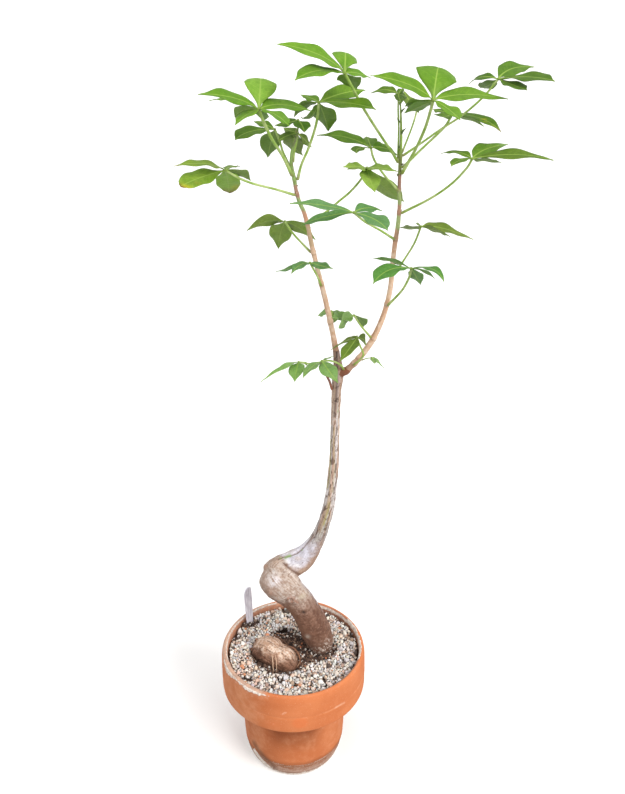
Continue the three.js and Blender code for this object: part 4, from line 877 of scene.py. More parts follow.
def make_trunk():
    g = Geo()
    for P, seg in ((LOWER_ARM, 40), (UPPER_ARM, 40), (KNOB, 40), (KNOB_LINK, 24)):
        v, q, t, *_ = tube(P, 2.0, seg)
        g.add(v, q, t)
    v, q, t, *_ = tube(COLLAR_RUN, 1.0, 20)
    g.add(v, q, t)
    v, q, e = fuse(g, 0.78)
    v = relax(v, e, 5)
    n = normals(v, q)
    lines = [LOWER_ARM, UPPER_ARM, KNOB, KNOB_LINK, COLLAR_RUN]
    who, run, ang, rad, each = nearest(v, lines)
    rr = np.maximum(rad, 1.0)
    bk = np.stack([run + 40.0 * who, rr * np.cos(ang), rr * np.sin(ang)], 1)
    z = v[:, 2]
    is_arm = (who <= 1)
    fu, fw = frame_px(v)
    up_w = step(-2.6, 2.6, (fu - 279.0) * 0.78 - (fw - 552.0) * 0.62 + 2.2 * fbm(v / 4.0, 3, 39)) * is_arm     # 1 past the fold, on the upper arm
    lower, upper, knob = (who == 0) * 1.0, (who == 1) * 1.0, ((who == 2) | (who == 3)) * 1.0
    stem = step(256, 276, z + 3 * fbm(v / 5.0, 2, 8)) * upper
    arm = up_w * (1 - step(256, 276, z)) * is_arm
    low = is_arm * (1 - up_w)
    warp = fbm(v / 6.0, 2, 40)[:, None]
    h = 0.9 * fbm(v / 13.0, 3, 3) * (1 - stem) + 0.35 * fbm(v / 7.0, 3, 9) * stem
    # long fissures and fibres
    k1 = noise(bk * (0.075, 0.55, 0.55) + warp * 0.4, 11)
    groove = 1 - step(0.0, 0.20, np.abs(k1))
    k2 = noise(bk * (0.16, 1.15, 1.15) + warp * 0.3, 12)
    fibre = 1 - step(0.0, 0.30, np.abs(k2))
    k3 = noise(bk * (0.10, 0.62, 0.62) + fbm(v / 5.0, 2, 41)[:, None] * 0.5, 13)
    fold = 1 - step(0.0, 0.30, np.abs(k3))
    cross = 1 - step(0.0, 0.16, np.abs(noise(bk * (0.62, 0.14, 0.14) + fbm(v / 4.0, 2, 42)[:, None] * 0.7, 15)))
    d, w = cells(v / 2.1, 60)
    pits = (1 - step(0.08, 0.26, d)) * (w > 0.15)
    dash_d, dash_w = cells(bk * (0.11, 0.95, 0.95), 66)
    dash = (1 - step(0.10, 0.34, dash_d)) * (dash_w > 0.0)
    relief = -stem * (0.7 * groove + 0.35 * fibre + 0.25 * dash)
    relief -= low * (0.12 * fold + 0.08 * fibre + 0.40 * pits)
    relief -= low * step(196, 236, z) * 0.10 * cross
    relief -= arm * (0.80 * pits + 0.18 * fibre)
    relief -= knob * (0.60 * fold + 0.30 * fibre + 0.20 * pits)
    flute = noise(bk * (0.022, 0.20, 0.20) + warp * 0.3, 16)
    h = h + relief * (0.40 * stem + 0.34 * arm + 0.40 * low + 0.62 * knob) + 0.30 * flute * low + (0.34 * fbm(v / 2.4, 2, 17) + 0.16 * fbm(v / 1.1, 2, 18)) * low
    # seam on the upper arm, the fold where the elbow laps over it
    seam = streak(v, n, [(313.5, 535.0), (308.5, 542.5), (303.0, 549.0), (297.5, 553.5), (291.5, 555.5), (284.0, 557.0), (279.0, 559.5)], 0.75)
    ridge = streak(v, n, [(309.0, 538.5), (304.0, 545.0), (299.0, 549.5), (292.0, 552.5), (284.0, 554.5)], 1.5)
    lap = streak(v, n, [(284.5, 563.0), (289.0, 567.0), (293.0, 570.5), (299.0, 574.8)], 1.15)
    lip = streak(v, n, [(283.0, 566.5), (288.0, 571.0), (293.0, 574.5), (298.5, 578.0)], 2.2)
    h += -0.6 * seam + 0.45 * ridge - 1.3 * lap + 0.7 * lip
    # knots and warts on the lower arm
    warts = np.zeros(len(v))
    for px, py, rx, lift in ((288.8, 598.0, 1.3, 0.8), (291.5, 596.8, 1.2, 0.8), (294.2, 598.2, 1.3, 1.1), (295.6, 600.8, 1.3, 1.0), (292.0, 601.2, 1.3, 1.0), (289.5, 602.6, 1.2, 0.9), (297.6, 602.4, 1.1, 0.8),
                             (279.5, 601.0, 1.4, 0.7), (270.0, 594.0, 2.0, 0.7), (286.0, 590.0, 2.2, 0.5), (303.0, 596.5, 3.2, 0.6), (283.5, 571.5, 1.0, 0.5)):
        m = spot(v, n, px, py, rx) * (low > 0.5)
        h += lift * m
        warts = np.maximum(warts, m * (lift > 0.75))
    knot = spot(v, n, 304.0, 612.5, 1.9, 1.6) * low
    h += 1.1 * spot(v, n, 270.0, 592.5, 2.6, 2.0) * low - 0.9 * spot(v, n, 279.5, 597.5, 3.4, 2.2, 20) * low
    h += -1.2 * knot + 0.6 * spot(v, n, 304.0, 612.5, 4.4, 4.0) * low
    h += -0.7 * streak(v, n, [(297.0, 596.0), (299.5, 603.0), (303.0, 611.0)], 1.6) * low
    h += 1.3 * knob
    h -= 2.4 * np.exp(-((fu - 282.0) / 4.2) ** 2 - ((fw - 645.0) / 4.4) ** 2) * knob
    h += 0.9 * np.exp(-((fu - 292.0) / 5.0) ** 2 - ((fw - 652.0) / 4.5) ** 2) * knob
    # colour
    big = fbm(v / 16.0, 3, 21)
    mid = fbm(v / 4.5, 3, 22)
    tiny = fbm(v / 1.6, 2, 24)
    fib = k2 + 0.6 * noise(bk * (0.28, 2.1, 2.1), 25)
    stem_c = mixc(tone(183, 173, 170), tone(226, 219, 217), step(-0.30, 0.40, fib + 0.5 * mid))
    stem_c = mixc(stem_c, tone(190, 152, 126), 0.75 * step(0.05, 0.34, noise(bk * (0.03, 0.40, 0.40), 23)))
    stem_c = mixc(stem_c, tone(186, 181, 146), 0.26 * step(0.16, 0.40, noise(bk * (0.030, 0.46, 0.46) + 9.0, 27)))
    stem_c = mixc(stem_c, tone(188, 154, 134), step(400, 446, z + 8 * k2) * 0.55)
    stem_c = mixc(stem_c, tone(128, 98, 80), step(448, 466, z) * 0.6)
    stem_c = stem_c * (1 + 0.10 * step(300, 330, z) * (1 - step(420, 440, z)) - 0.17 * step(256, 268, z) * (1 - step(286, 298, z)))[:, None]
    stem_c = mixc(stem_c, tone(122, 106, 98), 0.62 * groove)
    stem_c = mixc(stem_c, tone(104, 93, 88), 0.38 * dash)
    arm_c = mixc(tone(188, 184, 193), tone(214, 212, 224), step(-0.25, 0.3, mid + 0.4 * fib))
    arm_c = mixc(arm_c, tone(196, 176, 162), 0.55 * step(0.08, 0.40, big))
    arm_c = mixc(arm_c, tone(122, 106, 104), 0.80 * pits)
    # painted shade: the upper arm darker and browner on its downward-facing side
    under = step(0.48, -0.25, n[:, 2] + 0.25 * mid)
    arm_c = mixc(arm_c, mixc(tone(166, 136, 114), tone(134, 101, 82), step(-0.2, 0.3, tiny)), 0.88 * under)
    low_c = mixc(tone(116, 83, 66), tone(146, 112, 94), step(-0.45, 0.50, 0.15 * fib + 0.7 * mid + 0.8 * tiny))
    low_c = mixc(low_c, tone(104, 74, 59), 0.50 * step(0.0, 0.40, -mid + 0.7 * tiny))
    low_c = mixc(low_c, tone(186, 154, 136), 0.36 * step(0.14, 0.42, tiny + 0.05 * fib))
    low_c = mixc(low_c, tone(164, 132, 114), 0.16 * step(0.0, 0.5, flute))
    crown = step(192, 224, z + 6 * mid)
    crown_c = mixc(tone(166, 142, 126), tone(202, 187, 177), step(-0.50, 0.50, 0.40 * fib + 0.5 * mid + 0.6 * tiny))
    crown_c = mixc(crown_c, tone(146, 118, 101), 0.30 * step(0.05, 0.45, -0.4 * fib - 0.7 * tiny))
    low_c = mixc(low_c, crown_c, crown)
    # painted shade: the lower arm darker on its downward-facing side
    below = step(0.0, -0.75, n[:, 2] + 0.2 * mid)
    low_c = mixc(low_c, tone(130, 94, 74), 0.80 * below)
    low_c = mixc(low_c, tone(122, 92, 75), 0.50 * (1 - step(150, 174, z + 7 * mid)))
    low_c = mixc(low_c, tone(108, 80, 66), 0.70 * (1 - step(138, 148, z + 4 * mid)))
    low_c = mixc(low_c, tone(96, 68, 54), 0.06 * fold)
    low_c = low_c * (1 - np.array([0.07, 0.11, 0.13]) * step(1.0, 0.35, crown)[:, None])
    shade = np.array([0.86, 0.79, 0.75])
    low_c = low_c * (1 - (1 - shade) * (step(0.0, 0.55, 1 - crown) * step(150, 168, z))[:, None])
    both = mixc(low_c, arm_c, np.clip(up_w, 0, 1))
    both = mixc(both, stem_c, np.clip(stem, 0, 1))
    knob_c = mixc(tone(130, 93, 73), tone(156, 118, 97), step(-0.5, 0.5, fib + 0.8 * mid))
    # painted light: the knob paler on its upward-facing side, where it also has whitish flakes
    topside = step(0.30, 0.74, n[:, 2] + 0.22 * mid + 0.10 * k3)
    knob_c = mixc(knob_c, mixc(tone(198, 160, 134), tone(236, 212, 193), step(-0.25, 0.45, tiny + 0.5 * mid + 0.3 * fib)), topside * 0.92)
    knob_c = mixc(knob_c, tone(122, 84, 64), 0.40 * fold)
    # painted shade: the knob darker on its downward-facing side
    knob_c = mixc(knob_c, tone(116, 82, 64), 0.5 * step(0.05, -0.7, n[:, 2]))
    knob_c = mixc(knob_c, tone(86, 62, 50), 0.75 * (1 - step(135, 142, z + 3 * mid)))
    col = np.where((is_arm)[:, None], both, knob_c)
    col = np.where((who == len(lines) - 1)[:, None], tone(136, 88, 64), col)

    def dab(c, m):
        nonlocal col
        col = mixc(col, c, np.clip(m, 0, 1))
    patchy = step(-0.25, 0.25, fib + 0.6 * mid + 0.25)
    dab(tone(240, 238, 246), 0.66 * spot(v, n, 276.0, 580.5, 7.0, 4.6, 28) * patchy)
    dab(tone(240, 238, 246), 0.50 * spot(v, n, 272.5, 585.0, 4.0, 2.6, 20) * patchy)
    dab(tone(162, 130, 112), 0.55 * spot(v, n, 271.0, 589.5, 8.0, 4.0, 24))
    dab(tone(222, 206, 194), 0.45 * spot(v, n, 293.0, 580.0, 6.0, 7.0, 40) * patchy)
    dab(tone(238, 232, 228), 0.55 * spot(v, n, 274.0, 572.5, 3.0, 2.0, 0) * patchy)
    dab(tone(236, 226, 220), 0.6 * spot(v, n, 291.5, 574.0, 4.5, 1.8, 40) * patchy)
    dab(tone(178, 146, 128), 0.55 * spot(v, n, 264.0, 578.0, 3.0, 9.0, 0))
    dab(tone(150, 112, 92), 0.65 * spot(v, n, 270.5, 593.5, 6.0, 2.0, 14))
    dab(tone(170, 128, 104), 0.7 * spot(v, n, 266.0, 566.0, 3.0, 2.0, -40))
    dab(tone(190, 158, 134), 0.55 * spot(v, n, 276.5, 562.0, 9.0, 2.2, -32) * patchy)
    dab(tone(120, 92, 78), 0.85 * spot(v, n, 284.0, 572.0, 1.1, 0.8))
    dab(tone(140, 108, 90), 0.75 * spot(v, n, 286.5, 564.5, 2.6, 2.0, 30))
    dab(tone(182, 160, 142), 0.6 * spot(v, n, 304.5, 571.0, 9.0, 2.0, -22))
    # painted shade in the crease where the elbow laps over the upper arm
    dab(tone(112, 82, 66), 0.95 * lap)
    # painted shade on the lower front of the knob
    dab(tone(150, 108, 86), 0.55 * spot(v, n, 291.0, 667.5, 9.0, 4.5, 10) * knob)
    dab(tone(240, 226, 212), 0.70 * streak(v, n, [(276.0, 651.0), (281.0, 652.5), (286.0, 655.0), (289.0, 655.5)], 2.0) * step(-0.1, 0.3, tiny + 0.1) * knob)
    # painted shade on the lower front of the knob's right lobe and on its left side
    dab(tone(138, 99, 78), 0.82 * spot(v, n, 288.5, 665.5, 9.5, 5.6, 8) * knob)
    dab(tone(128, 92, 72), 0.45 * spot(v, n, 266.0, 666.0, 8.0, 5.0, 30) * knob)
    dab(tone(244, 230, 218), 0.30 * spot(v, n, 288.0, 652.5, 4.0, 3.0, 20) * step(-0.2, 0.3, tiny + 0.1) * knob)
    dab(tone(150, 118, 98), 0.80 * streak(v, n, [(299.0, 575.5), (305.0, 571.5), (311.5, 567.0), (317.0, 560.5), (320.5, 553.5)], 2.3) * step(-0.5, 0.3, tiny + 0.2))
    dab(tone(186, 156, 134), 0.45 * streak(v, n, [(293.0, 568.0), (301.0, 571.0), (309.0, 565.5), (315.5, 558.0)], 2.6))
    dab(tone(112, 86, 74), 0.85 * seam)
    dab(tone(236, 232, 240), 0.5 * ridge)
    dab(tone(134, 164, 92), 0.95 * streak(v, n, [(286.0, 557.6), (290.6, 555.6)], 1.35))
    dab(tone(134, 164, 92), 0.8 * spot(v, n, 281.3, 558.2, 1.2, 0.7))
    dab(tone(134, 164, 92), 0.8 * spot(v, n, 302.6, 550.2, 0.9, 0.8))
    dab(tone(240, 238, 236), 0.5 * streak(v, n, [(286.0, 560.5), (292.0, 564.5), (300.0, 566.0)], 2.0) * patchy)
    # painted shade in the crevices between the warts
    dab(tone(98, 68, 54), 0.75 * np.clip(1.3 * spot(v, n, 291.5, 600.0, 6.0, 4.4) * step(-0.05, 0.25, -tiny + 0.15) * (1 - warts), 0, 1) * (low > 0.5))
    dab(tone(158, 104, 80), 0.70 * warts)
    # painted shadow under the warts
    dab(tone(96, 66, 50), 0.7 * streak(v, n, [(287.0, 600.0), (290.0, 604.0), (295.0, 604.5)], 1.3))
    dab(tone(194, 180, 160), 0.75 * spot(v, n, 302.5, 596.5, 4.2, 2.4, -40))
    dab(tone(52, 38, 32), 0.9 * knot)
    # painted shade along the lower left side of the lower arm
    dab(tone(124, 88, 68), 0.75 * streak(v, n, [(288.5, 606.0), (293.0, 616.0), (299.0, 626.0), (305.0, 634.0)], 4.0))
    dab(tone(206, 192, 178), 0.75 * spot(v, n, 308.0, 636.5, 2.4, 1.9, 30))
    grains = noise(v / 1.15, 97)
    dab(tone(66, 48, 40), 0.34 * step(0.14, 0.30, grains) * (1 - step(144, 160, z + 5 * mid)) * is_arm)
    dab(tone(226, 214, 204), 0.60 * step(0.46, 0.54, -grains) * (1 - step(143, 150, z + 3 * mid)) * is_arm)
    dab(tone(222, 208, 196), 0.62 * step(0.22, 0.38, -grains) * np.maximum(spot(v, n, 327.5, 645.0, 3.0, 3.5), 0.8 * spot(v, n, 323.0, 650.0, 3.0, 2.2)))
    dab(tone(226, 216, 206), 0.7 * step(0.15, 0.4, tiny) * streak(v, n, [(318.0, 650.0), (324.0, 648.0), (330.0, 641.0)], 3.4))
    dab(tone(168, 158, 92), 0.75 * streak(v, n, [(331.3, 440.0), (330.6, 458.0), (330.2, 474.0), (328.0, 488.0)], 0.8))
    dab(tone(176, 166, 98), 0.80 * streak(v, n, [(330.0, 503.0), (328.5, 511.0), (324.0, 525.0)], 0.9))
    dab(tone(176, 160, 110), 0.6 * streak(v, n, [(334.5, 428.0), (334.0, 445.0), (335.5, 470.0), (333.0, 492.0)], 0.7))
    dab(tone(120, 150, 70), 0.7 * spot(v, n, 338.4, 412.0, 0.7, 1.6))
    dab(tone(84, 76, 76), 0.75 * streak(v, n, [(337.5, 352.0), (337.5, 385.0), (336.5, 398.0), (335.0, 417.0)], 1.2))
    dab(tone(216, 206, 198), 0.9 * streak(v, n, [(334.0, 420.0), (338.0, 419.6)], 0.8))
    dab(tone(206, 170, 142), 0.7 * streak(v, n, [(333.4, 385.0), (333.0, 400.0), (332.2, 425.0)], 0.8))
    dab(tone(206, 166, 134), 0.7 * streak(v, n, [(341.0, 385.0), (340.2, 402.0), (339.6, 425.0), (339.0, 455.0)], 0.8))
    dab(tone(140, 86, 60), 0.8 * spot(v, n, 346.0, 371.0, 4.0, 3.0))
    dab(tone(128, 82, 62), 0.8 * spot(v, n, 336.5, 350.0, 4.0, 2.6))
    v = v + n * h[:, None]
    geo = Geo().add(v, q)
    # loose roots in the hollow beside the trunk
    me_roots = Geo()
    me = data("trunk_skin", geo)
    put(me, "col", col); put(me, "bk", bk); put(me, "relief", relief)
    show("trunk_skin", me, bark, "trunk")
    r = Geo()
    strands = [(pts, (170, 132, 106) if k % 2 else (124, 88, 68), 0.25) for k, pts in enumerate(HAIR_ROOTS)]
    for k, P in enumerate(ROOTLETS[:3]):
        P = [[p[0] + (1.0 if k == 0 else 0.0), p[1] - (0.5 if k == 0 else 1.5), p[2] + (1.3 if k == 0 else 1.1), p[3]] for p in P]
        slim = 0.42 if k == 0 else 0.44
        strands.append(([[p[0], p[1], p[2], p[3] * slim] for p in P], (158, 112, 86) if k == 0 else (206, 172, 146), 0.15))
        if k == 0:
            strands.append(([[p[0] + 0.9 * math.sin(1.9 * j + k), p[1] - 0.5, p[2] + 0.8 * math.cos(1.3 * j), p[3] * 0.30] for j, p in enumerate(P)], (126, 86, 66) if k == 0 else (182, 146, 120), 0.3))
    for pts, c, wig in strands:
        w, q2, t2, x, a, rad = tube(pts, 0.9, 8)
        w = w + wig * np.stack([noise(w / 1.8, 80 + c_) for c_ in range(3)], 1)
        r.add(w, q2, t2, col=np.tile(tone(*c), (len(w), 1)), bk=np.stack([x, np.cos(a), np.sin(a)], 1), relief=np.zeros(len(w)))
    show("fine_roots", data("fine_roots", r), bark, "trunk")


HAIR_ROOTS = []


def root_px(pts, r):
    out = []
    for k, (u, w, z) in enumerate(pts):
        p = at_level(u, w, z)
        out.append([p[0], p[1], p[2], r * (1 - 0.45 * k / (len(pts) - 1))])
    HAIR_ROOTS.append(out)


root_px([(274.5, 635.0, 138.0), (279.5, 637.5, 136.5), (285.0, 642.0, 135.8), (290.0, 646.5, 136.5), (293.0, 652.0, 137.2)], 0.75)
root_px([(277.0, 633.0, 137.0), (283.5, 635.0, 135.0), (290.0, 640.0, 134.8), (296.0, 647.0, 135.5)], 0.55)
root_px([(281.0, 638.5, 136.5), (284.5, 645.0, 136.0), (291.0, 649.0, 136.6), (297.0, 656.0, 136.4), (299.0, 663.0, 135.2)], 0.6)
root_px([(275.0, 640.5, 139.5), (281.5, 643.0, 138.0), (287.5, 645.5, 138.8), (293.5, 650.5, 138.4)], 0.6)
root_px([(286.5, 633.5, 135.0), (288.0, 639.0, 134.0), (293.5, 643.0, 134.4)], 0.45)
root_px([(297.0, 652.5, 138.0), (299.5, 657.0, 137.5), (300.5, 662.0, 136.0), (298.0, 666.0, 135.2)], 0.8)
make_trunk()

# ------------------------------------------------------------------ shoots
shoot_mat = shoot_material()


def make_shoot(name, P, node, attach, buds, twig=False):
    P = [list(p) for p in P]
    g = Geo()
    joints = [np.array(a) for a in attach]
    D, run = spline(P, 1.0)
    xs = [run[np.argmin(((D[:, :3] - a) ** 2).sum(1))] for a in joints]

    def bump(x, a, r):
        out = 0.06 * r * noise(np.stack([x.ravel() / 5.0, np.cos(a).ravel() * 1.5, np.sin(a).ravel() * 1.5], 1), 31).reshape(r.shape)
        for x0 in xs:
            out = out + 0.15 * r * np.exp(-((x - x0) / 2.2) ** 2) - 0.05 * r * np.exp(-((x - x0 - 3.4) / 1.4) ** 2)
        return out
    v, q, t, x, a, r = tube(P, 0.8, 22, bump)
    z = v[:, 2]
    k = fbm(np.stack([x / 14.0, np.cos(a) * 0.9, np.sin(a) * 0.9], 1), 3, 32)
    if twig:
        col = mixc(tone(150, 92, 66), tone(110, 66, 48), step(-0.2, 0.3, k))
    else:
        tan = mixc(tone(232, 196, 166), tone(212, 166, 136), step(-0.25, 0.3, k))
        tan = mixc(tan, tone(244, 220, 200), 0.55 * step(0.1, 0.4, fbm(v / 3.0, 2, 33)))
        pu, pv = frame_px(v)
        pv = pv + 3.0 * k + 1.2 * fbm(v / 2.5, 2, 35)
        col = tan
        for v0, v1, c_, m_ in BANDS[name]:
            m_ = m_ * step(v0 - 1.2, v0 + 1.2, pv) * (1 - step(v1 - 1.2, v1 + 1.2, pv))
            col = mixc(col, mixc(tone(*c_) * 0.86, tone(*c_) * 1.12, step(-0.2, 0.35, k)), m_)
        dark = step(0.12, 0.34, fbm(np.stack([x / 16.0, np.cos(a) * 0.9 + 3, np.sin(a) * 0.9], 1), 2, 34)) * (1 - step(205, 225, pv))
        col = mixc(col, tone(112, 84, 66), 0.55 * dark)
        for x0 in xs:
            col = mixc(col, tone(136, 104, 78), 0.40 * np.exp(-((x - x0 + 1.6) / 0.7) ** 2))
        col = mixc(col, tone(148, 104, 76), 0.7 * (1 - step(2.0, 12.0, x)))
    g.add(v, q, t, col=col, bk=np.stack([x, np.maximum(r, 1) * np.cos(a), np.maximum(r, 1) * np.sin(a)], 1))
    for (p, d, length, wide, c) in buds:
        d = unit(np.array(d, float))
        p = np.array(p, float)
        side = unit(np.cross(d, [0.3, 1.0, 0.1]))
        pts = [list(p + d * length * f + side * 0.12 * length * math.sin(3.1 * f)) + [max(0.12, wide * w)] for f, w in ((0, 0.5), (0.2, 0.95), (0.45, 1.0), (0.7, 0.7), (0.9, 0.3), (1.0, 0.1))]
        w_, q_, t_, x_, a_, r_ = tube(pts, 0.5, 10)
        g.add(w_, q_, t_, col=np.tile(tone(*c), (len(w_), 1)), bk=np.stack([x_, np.cos(a_), np.sin(a_)], 1))
    show(name + "_skin", data(name + "_skin", g), shoot_mat, node)


# from the top down, in the photograph's frame: from, to, colour, how much
BANDS = {"left_shoot": [(0, 186, (146, 186, 96), 0.95), (186, 198, (176, 128, 108), 0.85), (198, 213, (150, 188, 108), 0.9), (213, 226, (206, 152, 122), 0.8), (226, 246, (196, 172, 128), 0.55), (262, 276, (184, 176, 128), 0.4)],
         "right_shoot": [(0, 176, (148, 186, 78), 0.95), (176, 192, (146, 104, 92), 0.75), (192, 206, (156, 188, 108), 0.9), (206, 216, (190, 138, 114), 0.8), (216, 231, (162, 192, 120), 0.9), (231, 250, (212, 164, 136), 0.7), (262, 280, (190, 180, 132), 0.4)]}
ends = {n: np.array(p[-1], float) for n, _, p, _ in LEAVES}
L_, R_ = np.array(LEFT_SHOOT), np.array(RIGHT_SHOOT)


def on(line, z):
    D, _ = spline(line, 1.0)
    return D[np.argmin(abs(D[:, 2] - z)), :3]


att_l, att_r = [], []
for n_, p_ in ends.items():
    dl = np.sqrt(((spline(LEFT_SHOOT, 1.0)[0][:, :3] - p_) ** 2).sum(1)).min()
    dr = np.sqrt(((spline(RIGHT_SHOOT, 1.0)[0][:, :3] - p_) ** 2).sum(1)).min()
    if min(dl, dr) < 7:
        (att_l if dl < dr else att_r).append(p_)


def bud_list(line, places, c=(112, 132, 62)):
    return [(on(line, z), d, ln, w, col) for z, d, ln, w, col in places]


make_shoot("left_shoot", LEFT_SHOOT, "left_shoot", att_l, bud_list(LEFT_SHOOT, [
    (669.5, (0.2, -0.3, 1.0), 5.5, 0.9, (120, 150, 66)), (666.0, (-0.7, -0.5, 0.8), 4.0, 0.7, (104, 120, 60)), (640.0, (-0.9, -0.4, 0.9), 3.6, 0.8, (112, 104, 70)),
    (626.0, (0.9, -0.4, 0.9), 3.4, 0.8, (120, 110, 70)), (556.0, (-0.8, -0.5, 0.7), 3.0, 0.8, (140, 112, 78)), (590.0, (0.8, -0.6, 0.9), 3.0, 0.8, (124, 120, 70))]))
make_shoot("right_shoot", RIGHT_SHOOT, "right_shoot", att_r, bud_list(RIGHT_SHOOT, [
    (689.0, (0.1, -0.3, 1.0), 6.0, 0.85, (122, 156, 60)), (683.0, (0.7, -0.4, 0.9), 6.5, 0.7, (98, 128, 52)), (676.0, (-0.7, -0.5, 0.9), 6.0, 0.7, (104, 132, 56)),
    (666.0, (0.6, -0.6, 1.0), 8.0, 0.9, (86, 116, 48)), (655.0, (-0.5, -0.6, 0.9), 5.0, 0.8, (96, 124, 52)), (641.0, (0.8, -0.5, 0.7), 4.5, 0.9, (104, 110, 58)),
    (633.0, (-0.8, -0.4, 0.8), 4.0, 0.8, (112, 110, 62)), (604.0, (0.9, -0.4, 0.8), 3.6, 0.9, (120, 96, 66)), (578.0, (-0.9, -0.4, 0.8), 3.2, 0.8, (140, 112, 80))]))
make_shoot("twig", TWIG, "twig", [], [], twig=True)

